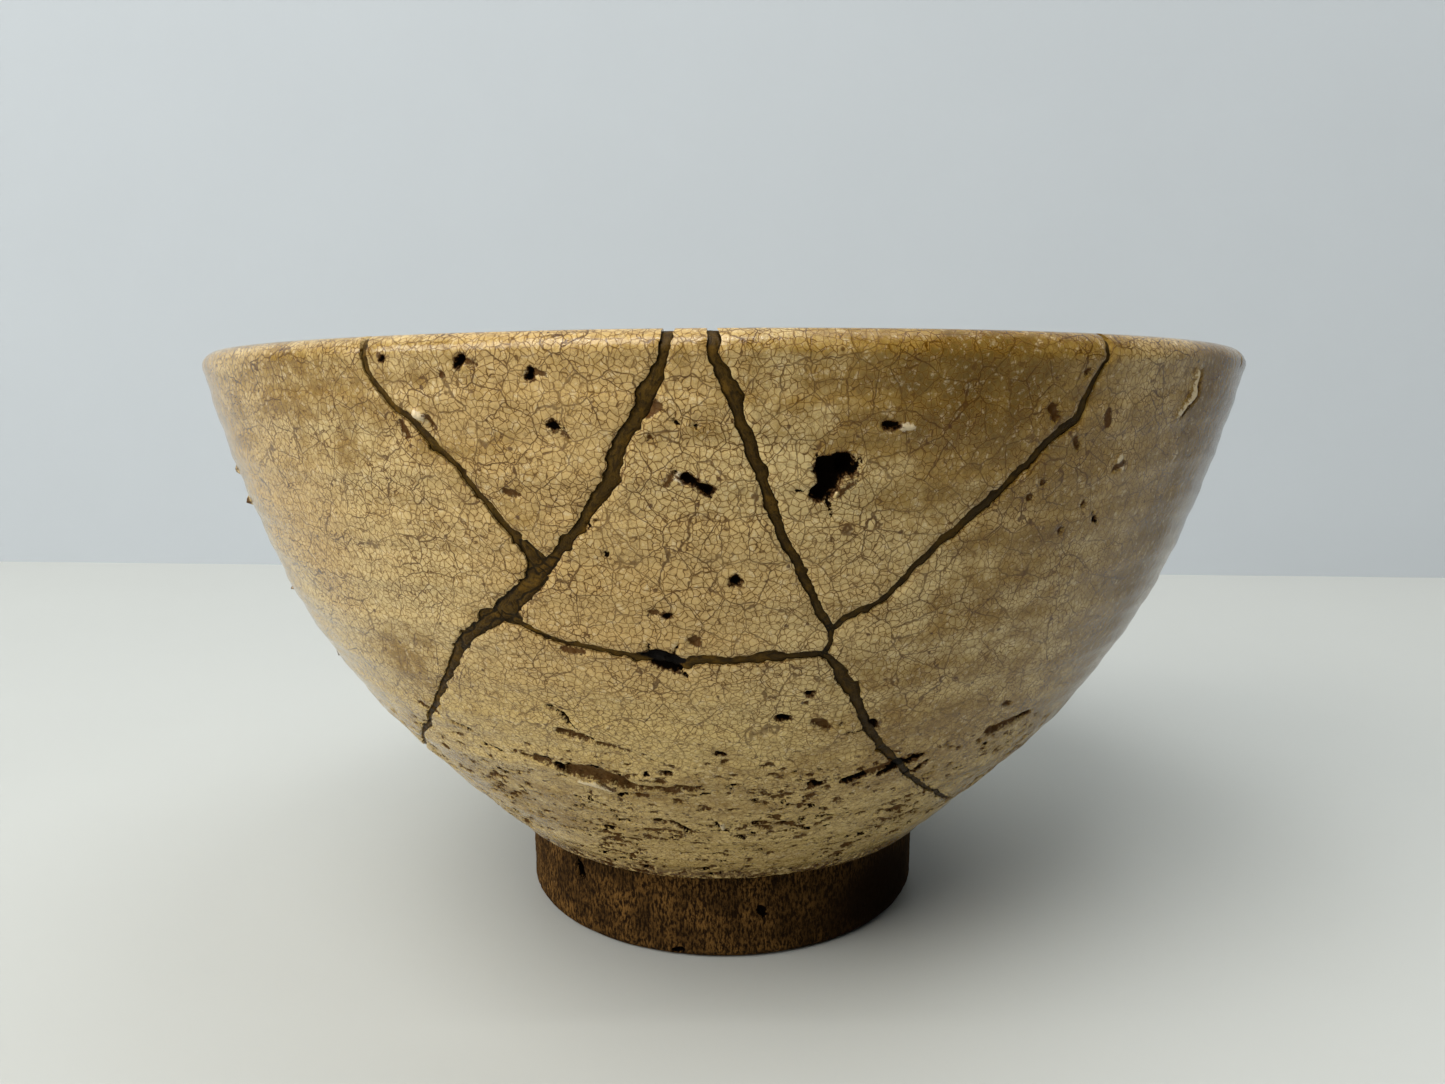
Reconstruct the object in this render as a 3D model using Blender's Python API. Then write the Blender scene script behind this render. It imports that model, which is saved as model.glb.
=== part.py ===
"""A hand-thrown tea bowl that broke into five sherds and was joined again with dark lacquer.

The bowl is turned from one profile. Every break is a thin ribbon that stands through the wall
along its normal. The ribbons, widened by a clearance, part the bowl into its sherds. The same
ribbons, cut to a bowl that is a little smaller, are the lacquer that fills the breaks.

Metres, +Z up. The origin is on the table under the middle of the foot. An azimuth is in degrees,
0 at the front (-Y) and growing towards the right (+X). A share is a height on the wall, 0 where
the wall leaves the foot and 1 where the lip begins.
"""

import math

import bmesh
import bpy
from mathutils import Vector

MM = 0.001

# Outside
BOWL_HEIGHT = 82.9 * MM
RIM_RADIUS = 72.8 * MM
RIM_LEAN = math.radians(12)
FOOT_RADIUS = 30.9 * MM
FOOT_HEIGHT = 12.5 * MM
FOOT_EDGE_ROUND = 1.5 * MM

# The wall's outline between foot and lip: (share of the height, share of the spread)
WALL_OUTLINE = (
    (0.0, 0.0),
    (0.014, 0.060),
    (0.110, 0.221),
    (0.227, 0.401),
    (0.344, 0.561),
    (0.548, 0.761),
    (0.782, 0.907),
    (1.0, 1.0),
)

# Thickness and inside
WALL_AT_LIP = 4.0 * MM
WALL_AT_FOOT = 6.6 * MM
WALL_EASE = 1.5
FLOOR_THICKNESS = 7.0 * MM
FLOOR_JOIN = 0.06

# Underside of the foot
FOOT_RING_WIDTH = 6.2 * MM
RECESS_DEPTH = 7.0 * MM
RECESS_TAPER = 1.6 * MM
RECESS_FILLET = 1.5 * MM
NUB_RADIUS = 5.0 * MM
NUB_DROP = 1.2 * MM

# Unevenness left by the potter's hands
OVAL = 0.2 * MM
OVAL_AT = 60
RIM_WAVE = 0.2 * MM
RIM_HIGH_AT = 30

# The lacquer and its fit between the sherds
LACQUER_WIDTH = 0.7 * MM
SEAM_GAP = 0.25 * MM
LACQUER_RECESS = 0.3 * MM
RIBBON_OVERRUN = 2.5 * MM
END_OVERLAP = 0.3
PAST_RIM = 1.07
BEHIND = 181

# Where the breaks meet, as (azimuth, share)
LEFT_UPPER = (-15.0, 0.703)
LEFT_LOWER = (-20.2, 0.627)
RIGHT_LOWER = (9.1, 0.576)
RIGHT_UPPER = (9.5, 0.615)

# Each break from end to end: (azimuth, share, widening of the lacquer)
BREAKS = {
    "rim_to_left_junction": (
        (-28.3, PAST_RIM, 1.0),
        (-27.6, 0.987, 1.0),
        (-26.6, 0.955, 1.0),
        (-23.4, 0.901, 1.1),
        (-20.7, 0.849, 1.0),
        (-17.3, 0.763, 1.1),
        (*LEFT_UPPER, 1.4),
    ),
    "front_rim_to_left_junction": (
        (-3.7, PAST_RIM, 1.3),
        (-3.9, 1.0, 1.3),
        (-5.1, 0.955, 1.9),
        (-6.6, 0.914, 1.6),
        (-8.7, 0.838, 2.0),
        (-10.8, 0.782, 1.1),
        (-13.3, 0.732, 1.1),
        (*LEFT_UPPER, 1.4),
    ),
    "left_junction": (
        (*LEFT_UPPER, 2.4),
        (-16.4, 0.680, 2.7),
        (-18.6, 0.653, 2.7),
        (*LEFT_LOWER, 2.6),
    ),
    "left_junction_round_the_back": (
        (*LEFT_LOWER, 1.9),
        (-23.2, 0.601, 1.7),
        (-25.9, 0.569, 1.9),
        (-27.5, 0.537, 1.4),
        (-30.4, 0.493, 1.0),
        (-34.4, 0.436, 1.0),
        (-40.2, 0.371, 1.0),
        (-50.0, 0.288, 1.0),
        (-66.0, 0.195, 1.0),
        (-90.0, 0.135, 1.0),
        (-125.0, 0.105, 1.0),
        (-BEHIND, 0.100, 1.0),
    ),
    "across_the_front": (
        (*LEFT_LOWER, 1.4),
        (-17.8, 0.610, 1.1),
        (-15.3, 0.592, 1.0),
        (-9.4, 0.576, 1.0),
        (-3.2, 0.564, 1.3),
        (-1.6, 0.569, 1.7),
        (1.0, 0.567, 1.3),
        (4.0, 0.575, 1.4),
        (*RIGHT_LOWER, 1.1),
    ),
    "right_junction": (
        (*RIGHT_LOWER, 1.0),
        (9.7, 0.596, 1.0),
        (*RIGHT_UPPER, 1.0),
    ),
    "front_rim_to_right_junction": (
        (-0.8, PAST_RIM, 1.4),
        (-0.6, 1.0, 1.4),
        (-0.2, 0.982, 1.6),
        (2.0, 0.890, 1.1),
        (4.2, 0.782, 1.1),
        (5.9, 0.722, 1.1),
        (*RIGHT_UPPER, 1.0),
    ),
    "rim_to_right_junction": (
        (31.6, PAST_RIM, 1.0),
        (30.2, 1.0, 1.0),
        (29.3, 0.963, 1.0),
        (28.6, 0.917, 1.6),
        (26.9, 0.901, 1.4),
        (24.5, 0.852, 1.1),
        (21.0, 0.792, 1.4),
        (17.3, 0.734, 1.1),
        (14.1, 0.668, 1.0),
        (11.7, 0.643, 1.0),
        (*RIGHT_UPPER, 1.0),
    ),
    "right_junction_round_the_back": (
        (*RIGHT_LOWER, 1.1),
        (10.7, 0.553, 1.4),
        (12.3, 0.519, 1.9),
        (13.6, 0.481, 1.1),
        (15.4, 0.437, 1.0),
        (18.3, 0.383, 1.0),
        (22.2, 0.332, 1.0),
        (27.2, 0.279, 1.0),
        (33.3, 0.230, 1.0),
        (44.4, 0.158, 1.0),
        (62.0, 0.118, 1.0),
        (90.0, 0.105, 1.0),
        (130.0, 0.100, 1.0),
        (BEHIND, 0.100, 1.0),
    ),
}

# Each sherd by a place on its outside, as (azimuth, share)
SHERDS = {
    "sherd_rim_left": (-15, 0.86),
    "sherd_front": (-2, 0.70),
    "sherd_rim_right": (15, 0.86),
    "sherd_back_wall": (180, 0.60),
    "sherd_foot": (0, 0.25),
}

# Pits and gouges in the glaze: width across and depth
BIG_PIT = (4.3 * MM, 1.3 * MM)
STAR_PIT = (2.2 * MM, 0.8 * MM)
SEAM_PIT = (4.2 * MM, 0.9 * MM)
HOOK_GOUGE = (4.1 * MM, 0.6 * MM)
LONG_GOUGE = (16.6 * MM, 0.8 * MM)
FOOT_PIT = (2.0 * MM, 1.2 * MM)
FOOT_NICK = (2.7 * MM, 1.0 * MM)
PIT_NARROWING = 0.55
PIT_RIM = 0.3
PIT_OVERRUN = 1.0 * MM

# Where each is: (size, azimuth, share, outline to the right and up in half widths)
WALL_PITS = (
    (BIG_PIT, 8.1, 0.843, (
        (-0.9, -0.7), (-0.5, -1.1), (-0.1, -0.6), (0.2, -0.3), (1.0, -0.1),
        (0.8, 0.85), (0.1, 1.1), (-0.55, 0.85), (-0.55, 0.15), (-1.0, -0.3))),
    (STAR_PIT, -1.9, 0.820, (
        (-1.0, 0.5), (-0.7, -0.2), (0.5, -0.8), (1.0, -0.3), (0.3, 0.3))),
    (SEAM_PIT, -4.9, 0.566, (
        (-0.85, -0.25), (-0.1, -0.5), (0.5, -0.7), (0.85, -1.05),
        (0.85, -0.4), (1.0, 0.1), (0.1, 0.5), (-1.0, 0.5))),
    (HOOK_GOUGE, -17.3, 0.410, (
        (-0.95, 0.35), (-0.6, -0.2), (0.5, -0.55), (1.0, -0.5), (0.4, 0.1), (-0.3, 0.45))),
    (LONG_GOUGE, -12.4, 0.325, (
        (-1.0, -0.06), (-0.6, -0.18), (0.12, -0.29), (0.95, -0.26), (1.0, -0.15),
        (0.36, -0.11), (-0.12, 0.03), (-0.54, 0.12), (-0.96, 0.15))),
)
FOOT_PITS = (
    (FOOT_PIT, -41.8, 0.75, (
        (-1.0, 0.2), (-0.5, -1.1), (0.6, -0.9), (1.0, 0.3), (0.2, 1.1))),
    (FOOT_NICK, -11.5, 0.08, (
        (-1.0, -1.1), (1.0, -1.1), (0.7, -0.15), (0.1, 0.4), (-0.7, 0.1))),
)

# Fineness of the mesh
SEGMENTS = 80
WALL_STEPS = 15
LIP_STEPS = 6
INSIDE_STEPS = 11
FLOOR_STEPS = 5
ROUND_STEPS = 3
RIBBON_STEP = 6
MERGE = 1e-6

# Sizes that follow from those above
LIP_RADIUS = WALL_AT_LIP / 2
WALL_TOP = BOWL_HEIGHT - LIP_RADIUS * (1 + math.sin(RIM_LEAN))
WALL_HEIGHT = WALL_TOP - FOOT_HEIGHT
SPREAD = RIM_RADIUS - FOOT_RADIUS
FLOOR_TOP = RECESS_DEPTH + FLOOR_THICKNESS

GLAZE = ("glaze", (0.56, 0.43, 0.22), 0.3)
RAW_CLAY = ("raw_clay", (0.10, 0.065, 0.035), 0.85)
LACQUER = ("lacquer", (0.085, 0.055, 0.022), 0.45)


def outline_slope(index):
    """Slope of the wall's outline at one of its points."""
    if index == len(WALL_OUTLINE) - 1:
        return math.tan(RIM_LEAN) * WALL_HEIGHT / SPREAD
    low = WALL_OUTLINE[max(index - 1, 0)]
    high = WALL_OUTLINE[index + 1]
    return (high[1] - low[1]) / (high[0] - low[0])


def spread_at(share):
    """Share of the spread at a share of the wall's height, on a smooth curve."""
    last = len(WALL_OUTLINE) - 1
    if share >= 1:
        return 1 + outline_slope(last) * (share - 1)
    upper = next(i for i in range(1, last + 1) if share <= WALL_OUTLINE[i][0])
    (x0, y0), (x1, y1) = WALL_OUTLINE[upper - 1], WALL_OUTLINE[upper]
    span = x1 - x0
    t = (share - x0) / span
    return (
        (1 + 2 * t) * (1 - t) ** 2 * y0
        + t * (1 - t) ** 2 * span * outline_slope(upper - 1)
        + t ** 2 * (3 - 2 * t) * y1
        + t ** 2 * (t - 1) * span * outline_slope(upper)
    )


def outside(share):
    """Radius and height of the outside of the wall."""
    return Vector((FOOT_RADIUS + SPREAD * spread_at(share), FOOT_HEIGHT + WALL_HEIGHT * share))


def outward(share):
    """Unit normal of the outside, as radius and height."""
    nudge = 0.002
    along = outside(share + nudge) - outside(max(share - nudge, 0))
    return Vector((along.y, -along.x)).normalized()


def thickness(share):
    """Thickness of the wall, from the lip down to the foot."""
    depth = max(1 - share, 0)
    return WALL_AT_LIP + (WALL_AT_FOOT - WALL_AT_LIP) * depth ** WALL_EASE


def inside(share):
    """Radius and height of the inside of the wall."""
    return outside(share) - outward(share) * thickness(share)


def arc(centre, radius, start, end, steps):
    """Points of an arc between two angles in degrees, without its first point."""
    angles = [math.radians(start + (end - start) * i / steps) for i in range(1, steps + 1)]
    return [centre + radius * Vector((math.cos(a), math.sin(a))) for a in angles]


def underside_profile():
    """From the axis under the floor, out through the recess and round the foot ring."""
    ring_inner = FOOT_RADIUS - FOOT_RING_WIDTH
    recess_wall = ring_inner - RECESS_TAPER
    corner = Vector((recess_wall - RECESS_FILLET, RECESS_DEPTH - RECESS_FILLET))
    points = [
        Vector((0, RECESS_DEPTH - NUB_DROP)),
        Vector((NUB_RADIUS * 0.4, RECESS_DEPTH - NUB_DROP * 0.8)),
        Vector((NUB_RADIUS, RECESS_DEPTH)),
        Vector((corner.x, RECESS_DEPTH)),
    ]
    points += arc(corner, RECESS_FILLET, 90, 0, ROUND_STEPS)
    points.append(Vector((ring_inner, 0)))
    points.append(Vector((FOOT_RADIUS - FOOT_EDGE_ROUND, 0)))
    edge = Vector((FOOT_RADIUS - FOOT_EDGE_ROUND, FOOT_EDGE_ROUND))
    points += arc(edge, FOOT_EDGE_ROUND, -90, 0, ROUND_STEPS)
    return points


def lip_profile():
    """Half a circle from the outside of the wall over the lip to its inside."""
    centre = outside(1) - outward(1) * LIP_RADIUS
    lean = math.degrees(math.atan2(outward(1).y, outward(1).x))
    return arc(centre, LIP_RADIUS, lean, lean + 180, LIP_STEPS)


def inside_profile():
    """Down the inside wall, then along a floor that leaves the wall at the wall's own slope."""
    drop = 1 - FLOOR_JOIN
    points = [inside(1 - drop * i / INSIDE_STEPS) for i in range(1, INSIDE_STEPS + 1)]
    edge = points[-1]
    rise = edge.y - FLOOR_TOP
    along = inside(FLOOR_JOIN * 1.05) - edge
    power = along.y / along.x * edge.x / rise
    for i in range(FLOOR_STEPS - 1, -1, -1):
        reach = i / FLOOR_STEPS
        points.append(Vector((edge.x * reach, FLOOR_TOP + rise * reach ** power)))
    return points


def bowl_profile():
    """The closed section of the bowl, from the axis below to the axis above."""
    wall = [outside(step_share(i)) for i in range(WALL_STEPS + 1)]
    return underside_profile() + wall + lip_profile() + inside_profile()


def step_share(index):
    """Heights of the wall's rings: close together in the curve above the foot."""
    even = index / WALL_STEPS
    return even ** 1.4


def thrown(co):
    """Move a point of the true round form to where the potter's hands left it."""
    azimuth = math.degrees(math.atan2(co.x, -co.y))
    share = max(co.z - FOOT_HEIGHT, 0) / WALL_HEIGHT
    oval = OVAL * share * math.cos(math.radians(2 * (azimuth - OVAL_AT)))
    wave = RIM_WAVE * share ** 4 * math.cos(math.radians(2 * (azimuth - RIM_HIGH_AT)))
    reach = Vector((co.x, co.y, 0))
    shift = reach.normalized() * oval if reach.length > 0 else reach
    return co + shift + Vector((0, 0, wave))


def make_object(name, bm):
    """Turn a bmesh into an object of the scene."""
    mesh = bpy.data.meshes.new(name)
    bm.to_mesh(mesh)
    bm.free()
    made = bpy.data.objects.new(name, mesh)
    bpy.context.scene.collection.objects.link(made)
    return made


def make_bowl(name, inset):
    """The whole bowl, spun from its section, with every face moved in by the inset."""
    bm = bmesh.new()
    verts = [bm.verts.new((p.x, 0, p.y)) for p in bowl_profile()]
    edges = [bm.edges.new(pair) for pair in zip(verts, verts[1:])]
    bmesh.ops.spin(bm, geom=verts + edges, cent=(0, 0, 0), axis=(0, 0, 1),
                   angle=math.tau, steps=SEGMENTS, use_merge=True)
    bmesh.ops.remove_doubles(bm, verts=bm.verts, dist=MERGE)
    bmesh.ops.recalc_face_normals(bm, faces=bm.faces)
    for vert in bm.verts:
        vert.co = thrown(vert.co)
    bm.normal_update()
    for vert in bm.verts:
        vert.co -= vert.normal * inset
    return make_object(name, bm)


def on_bowl(azimuth, point):
    """A point of the bowl from its azimuth and its radius and height."""
    turn = math.radians(azimuth)
    return Vector((point.x * math.sin(turn), -point.x * math.cos(turn), point.y))


def walked(points):
    """The points of a break, with more between those that are far apart round the bowl."""
    result = [points[0]]
    for start, end in zip(points, points[1:]):
        steps = max(1, math.ceil(abs(end[0] - start[0]) / RIBBON_STEP))
        for i in range(1, steps + 1):
            result.append(tuple(a + (b - a) * i / steps for a, b in zip(start, end)))
    return result


def make_ribbon(name, points, extra_width):
    """A thin solid that stands through the wall along a break."""
    stations = walked(points)
    centres = [on_bowl(a, outside(s)) for a, s, _ in stations]
    bm = bmesh.new()
    rings = []
    last = len(stations) - 1
    for i, (azimuth, share, widening) in enumerate(stations):
        normal = on_bowl(azimuth, outward(share))
        along = (centres[min(i + 1, last)] - centres[max(i - 1, 0)]).normalized()
        width = LACQUER_WIDTH * widening + extra_width
        aside = along.cross(normal).normalized() * width / 2
        end = {0: -1, last: 1}.get(i, 0)
        centre = centres[i] + along * end * width * END_OVERLAP
        outer = centre + normal * RIBBON_OVERRUN
        inner = centre - normal * (thickness(share) + RIBBON_OVERRUN)
        corners = (outer - aside, outer + aside, inner + aside, inner - aside)
        rings.append([bm.verts.new(c) for c in corners])
    for ring, following in zip(rings, rings[1:]):
        for j in range(4):
            k = (j + 1) % 4
            bm.faces.new((ring[j], ring[k], following[k], following[j]))
    bm.faces.new(rings[0])
    bm.faces.new(rings[-1])
    bmesh.ops.recalc_face_normals(bm, faces=bm.faces)
    return make_object(name, bm)


def make_pit(name, azimuth, point, normal, size, outline):
    """A cutter that is widest at the surface and narrows to the bottom of the pit."""
    width, depth = size
    centre = on_bowl(azimuth, point)
    out = on_bowl(azimuth, normal)
    right = Vector((math.cos(math.radians(azimuth)), math.sin(math.radians(azimuth)), 0))
    up = out.cross(right)
    bm = bmesh.new()
    levels = ((1, PIT_OVERRUN), (1, -PIT_RIM * depth), (PIT_NARROWING, -depth))
    loops = []
    for scale, level in levels:
        loops.append([
            bm.verts.new(centre + out * level + (right * x + up * y) * width / 2 * scale)
            for x, y in outline])
    count = len(outline)
    for loop, following in zip(loops, loops[1:]):
        for j in range(count):
            k = (j + 1) % count
            bm.faces.new((loop[j], loop[k], following[k], following[j]))
    bm.faces.new(loops[0])
    bm.faces.new(loops[-1])
    bmesh.ops.recalc_face_normals(bm, faces=bm.faces)
    return make_object(name, bm)


def pit_cutters():
    """All pits of the wall and of the foot."""
    cutters = []
    for i, (size, azimuth, share, outline) in enumerate(WALL_PITS):
        cutters.append(make_pit(
            f"wall_pit_{i}", azimuth, outside(share), outward(share), size, outline))
    for i, (size, azimuth, share, outline) in enumerate(FOOT_PITS):
        side = Vector((FOOT_RADIUS, FOOT_HEIGHT * share))
        cutters.append(make_pit(
            f"foot_pit_{i}", azimuth, side, Vector((1, 0)), size, outline))
    return cutters


def combine(body, tool, operation):
    """Apply one Boolean to the body and remove the tool."""
    modifier = body.modifiers.new("combine", "BOOLEAN")
    modifier.operation = operation
    modifier.solver = "EXACT"
    # Where a break turns sharply, its ribbon folds over itself
    modifier.use_self = operation == "UNION"
    modifier.object = tool
    graph = bpy.context.evaluated_depsgraph_get()
    result = bpy.data.meshes.new_from_object(body.evaluated_get(graph))
    body.modifiers.clear()
    body.data = result
    bpy.data.objects.remove(tool)


def material(settings):
    """A plain Principled material."""
    name, colour, roughness = settings
    made = bpy.data.materials.new(name)
    made.use_nodes = True
    shader = made.node_tree.nodes["Principled BSDF"]
    shader.inputs["Base Color"].default_value = (*colour, 1)
    shader.inputs["Roughness"].default_value = roughness
    return made


def islands(bm):
    """The connected groups of faces of a mesh."""
    left = set(bm.faces)
    groups = []
    while left:
        group = {left.pop()}
        border = list(group)
        while border:
            neighbours = {f for edge in border.pop().edges for f in edge.link_faces} & left
            left -= neighbours
            group |= neighbours
            border += neighbours
        groups.append(group)
    return groups


def distance_to(group, place):
    """Distance of a group of faces from a place."""
    return min((vert.co - place).length for face in group for vert in face.verts)


def part_sherds(broken):
    """Give each separate piece of the broken bowl its own object."""
    sherds = []
    for name, (azimuth, share) in SHERDS.items():
        place = on_bowl(azimuth, outside(share))
        bm = bmesh.new()
        bm.from_mesh(broken.data)
        groups = islands(bm)
        own = min(groups, key=lambda group: distance_to(group, place))
        others = [face for face in bm.faces if face not in own]
        bmesh.ops.delete(bm, geom=others, context="FACES")
        sherds.append(make_object(name, bm))
    bpy.data.objects.remove(broken)
    return sherds


def finish_sherd(sherd, glaze, raw_clay):
    """Glaze on the wall, raw clay on the foot."""
    sherd.data.materials.append(glaze)
    sherd.data.materials.append(raw_clay)
    for face in sherd.data.polygons:
        on_foot = face.center.z < FOOT_HEIGHT
        face.material_index = 1 if on_foot else 0
    smooth(sherd)


def smooth(made):
    """Shade round parts smooth and keep the broken edges sharp."""
    made.data.shade_smooth()
    made.data.set_sharp_from_angle(angle=math.radians(35))


def build():
    for old in list(bpy.data.objects):
        bpy.data.objects.remove(old)

    broken = make_bowl("bowl", 0)
    lacquer_space = make_bowl("lacquer_space", LACQUER_RECESS)
    for body in (broken, lacquer_space):
        for cutter in pit_cutters():
            combine(body, cutter, "DIFFERENCE")

    for name, points in BREAKS.items():
        combine(broken, make_ribbon(name, points, 2 * SEAM_GAP), "DIFFERENCE")
    names = list(BREAKS)
    ribbons = make_ribbon("lacquer_seams", BREAKS[names[0]], 0)
    for name in names[1:]:
        combine(ribbons, make_ribbon(name, BREAKS[name], 0), "UNION")
    combine(ribbons, lacquer_space, "INTERSECT")

    glaze = material(GLAZE)
    raw_clay = material(RAW_CLAY)
    for sherd in part_sherds(broken):
        finish_sherd(sherd, glaze, raw_clay)
    ribbons.data.materials.clear()
    ribbons.data.materials.append(material(LACQUER))
    smooth(ribbons)


build()
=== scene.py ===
"""The looks of a hand-thrown tea bowl that was broken and joined again with dark lacquer.

Lengths are in millimetres until they go into a mesh, and +Z is up. An azimuth is in degrees,
0 at the front (-Y) and growing towards the right (+X). A station says where a point is on the
bowl's section: below 0 on the foot and its underside, 0 to 1 up the wall, 1 to 2 round the lip
to its crest. The outside and the inside are each one sheet of triangles. The breaks are cut
into both sheets along the same points, and walls of broken clay join them.
"""
import math

import bpy
import numpy as np
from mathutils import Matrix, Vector, noise
from mathutils.geometry import delaunay_2d_cdt
from mathutils.kdtree import KDTree


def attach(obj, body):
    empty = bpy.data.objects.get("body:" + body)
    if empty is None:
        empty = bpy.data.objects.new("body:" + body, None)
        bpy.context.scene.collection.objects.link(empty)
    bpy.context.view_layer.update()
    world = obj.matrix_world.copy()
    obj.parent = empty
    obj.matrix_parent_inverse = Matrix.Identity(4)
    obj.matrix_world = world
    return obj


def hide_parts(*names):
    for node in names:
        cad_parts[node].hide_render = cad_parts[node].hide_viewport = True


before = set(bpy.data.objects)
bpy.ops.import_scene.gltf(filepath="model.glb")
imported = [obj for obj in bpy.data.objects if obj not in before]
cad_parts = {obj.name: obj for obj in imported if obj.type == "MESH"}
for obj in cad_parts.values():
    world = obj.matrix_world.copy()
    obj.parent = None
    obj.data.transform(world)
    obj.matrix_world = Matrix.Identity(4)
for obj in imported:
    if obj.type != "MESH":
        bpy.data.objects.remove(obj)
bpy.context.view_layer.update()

MM = 0.001

# Camera: fitted to the photograph
LENS = 24.96
SENSOR_WIDTH = 36
CAMERA_PLACE = (0, -0.1598, 0.0770)
CAMERA_PITCH = 8.21

# The bowl's section, as in the frame
BOWL_HEIGHT = 82.9
RIM_RADIUS = 72.8
RIM_LEAN = math.radians(12)
FOOT_RADIUS = 30.9
FOOT_HEIGHT = 12.5
FOOT_EDGE_ROUND = 1.5
WALL_OUTLINE = (
    (0.0, 0.0), (0.014, 0.060), (0.110, 0.221), (0.227, 0.401),
    (0.344, 0.561), (0.548, 0.761), (0.782, 0.907), (1.0, 1.0),
)
WALL_AT_LIP = 4.0
WALL_AT_FOOT = 6.6
WALL_EASE = 1.5
FLOOR_THICKNESS = 7.0
FLOOR_JOIN = 0.06
FOOT_RING_WIDTH = 6.2
RECESS_DEPTH = 7.0
RECESS_TAPER = 1.6
RECESS_FILLET = 1.5
NUB_RADIUS = 5.0
NUB_DROP = 1.2
OVAL = 0.2
OVAL_AT = 60
RIM_WAVE = 0.2
RIM_HIGH_AT = 30
LIP_RADIUS = WALL_AT_LIP / 2
WALL_TOP = BOWL_HEIGHT - LIP_RADIUS * (1 + math.sin(RIM_LEAN))
WALL_HEIGHT = WALL_TOP - FOOT_HEIGHT
SPREAD = RIM_RADIUS - FOOT_RADIUS
FLOOR_TOP = RECESS_DEPTH + FLOOR_THICKNESS
CREST = 2.0

# Where the breaks meet, as (azimuth, station)
LEFT_UPPER = (-15.0, 0.703)
LEFT_LOWER = (-20.2, 0.627)
RIGHT_LOWER = (9.1, 0.576)
RIGHT_UPPER = (9.5, 0.615)
BACK = 181

# Each break from end to end: (azimuth, station, width of the lacquer)
BREAKS = (
    ((-28.2, CREST, 0.9), (-27.6, 0.987, 0.9), (-26.6, 0.955, 0.9), (-23.4, 0.901, 1.0),
     (-20.7, 0.849, 0.95), (-17.3, 0.763, 1.0), (*LEFT_UPPER, 1.5)),
    ((-3.7, CREST, 1.1), (-3.9, 1.0, 1.1), (-5.1, 0.955, 1.55), (-6.6, 0.914, 1.2),
     (-8.7, 0.838, 1.6), (-10.8, 0.782, 1.05), (-13.3, 0.732, 0.95), (*LEFT_UPPER, 1.3)),
    ((*LEFT_UPPER, 1.9), (-16.4, 0.680, 2.1), (-18.6, 0.653, 2.0), (*LEFT_LOWER, 1.9)),
    ((*LEFT_LOWER, 1.5), (-23.2, 0.601, 1.45), (-25.9, 0.569, 1.5), (-27.5, 0.537, 1.15),
     (-30.4, 0.493, 0.9), (-34.4, 0.436, 0.8), (-40.2, 0.371, 0.7), (-50.0, 0.288, 0.7),
     (-66.0, 0.195, 0.7), (-90.0, 0.135, 0.7), (-125.0, 0.105, 0.7), (-BACK, 0.100, 0.7)),
    ((*LEFT_LOWER, 1.2), (-17.8, 0.610, 0.85), (-15.3, 0.592, 0.8), (-9.4, 0.576, 0.8),
     (-3.2, 0.564, 1.1), (-1.6, 0.569, 1.5), (1.0, 0.567, 1.1), (4.0, 0.575, 1.2),
     (*RIGHT_LOWER, 0.9)),
    ((*RIGHT_LOWER, 0.8), (9.7, 0.596, 0.7), (*RIGHT_UPPER, 0.8)),
    ((-0.8, CREST, 1.15), (-0.6, 1.0, 1.15), (-0.2, 0.982, 1.35), (2.0, 0.890, 1.1),
     (4.2, 0.782, 1.0), (5.9, 0.722, 1.0), (*RIGHT_UPPER, 0.9)),
    ((30.4, CREST, 0.85), (30.2, 1.0, 0.85), (29.3, 0.963, 0.9), (28.6, 0.917, 1.4),
     (26.9, 0.901, 1.2), (24.5, 0.852, 1.0), (21.0, 0.792, 1.25), (17.3, 0.734, 1.0),
     (14.1, 0.668, 0.95), (11.7, 0.643, 0.9), (*RIGHT_UPPER, 0.9)),
    ((*RIGHT_LOWER, 0.9), (10.7, 0.553, 1.2), (12.3, 0.519, 1.7), (13.6, 0.481, 1.1),
     (15.4, 0.437, 1.0), (18.3, 0.383, 1.0), (22.2, 0.332, 0.9), (27.2, 0.279, 0.8),
     (33.3, 0.230, 0.7), (44.4, 0.158, 0.7), (62.0, 0.118, 0.7), (90.0, 0.105, 0.7),
     (130.0, 0.100, 0.7), (BACK, 0.100, 0.7)),
)

# The wide patch of lacquer between the two left junctions, as (azimuth, height)
LEFT_PATCH = (
    (-15.8, 63.6), (-16.7, 63.5), (-16.4, 61.0), (-16.7, 59.6), (-17.6, 58.8), (-19.1, 57.6),
    (-20.5, 56.6), (-20.7, 55.9), (-22.2, 55.7), (-22.5, 55.2), (-23.0, 54.2), (-23.9, 53.1),
    (-25.4, 52.3), (-26.1, 50.4), (-23.3, 52.6), (-22.0, 53.6), (-20.9, 54.7), (-19.3, 54.6),
    (-18.1, 53.9), (-15.8, 53.0), (-15.0, 53.4), (-16.8, 54.0), (-18.0, 54.7), (-18.2, 56.9),
    (-17.0, 57.9), (-15.6, 58.7), (-14.8, 59.7), (-14.2, 60.6), (-13.5, 61.5), (-14.5, 61.8),
)

# Each sherd by a place on its outside, as (azimuth, station)
SHERDS = {
    "sherd_rim_left": (-15, 0.86),
    "sherd_front": (-2, 0.70),
    "sherd_rim_right": (15, 0.86),
    "sherd_back_wall": (180, 0.60),
    "sherd_foot": (0, 0.25),
}

# Spacing of the points. Outside it is FINE as far as FINE_TO degrees from the front, twice that
# as far as MIDDLE_TO and four times that behind. Inside it is fine beside the breaks and the crest
FINE = 0.27
FINE_TO = 37
MIDDLE_TO = 88
INSIDE_FINE = 0.3
INSIDE_COARSE = 1.7
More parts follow.
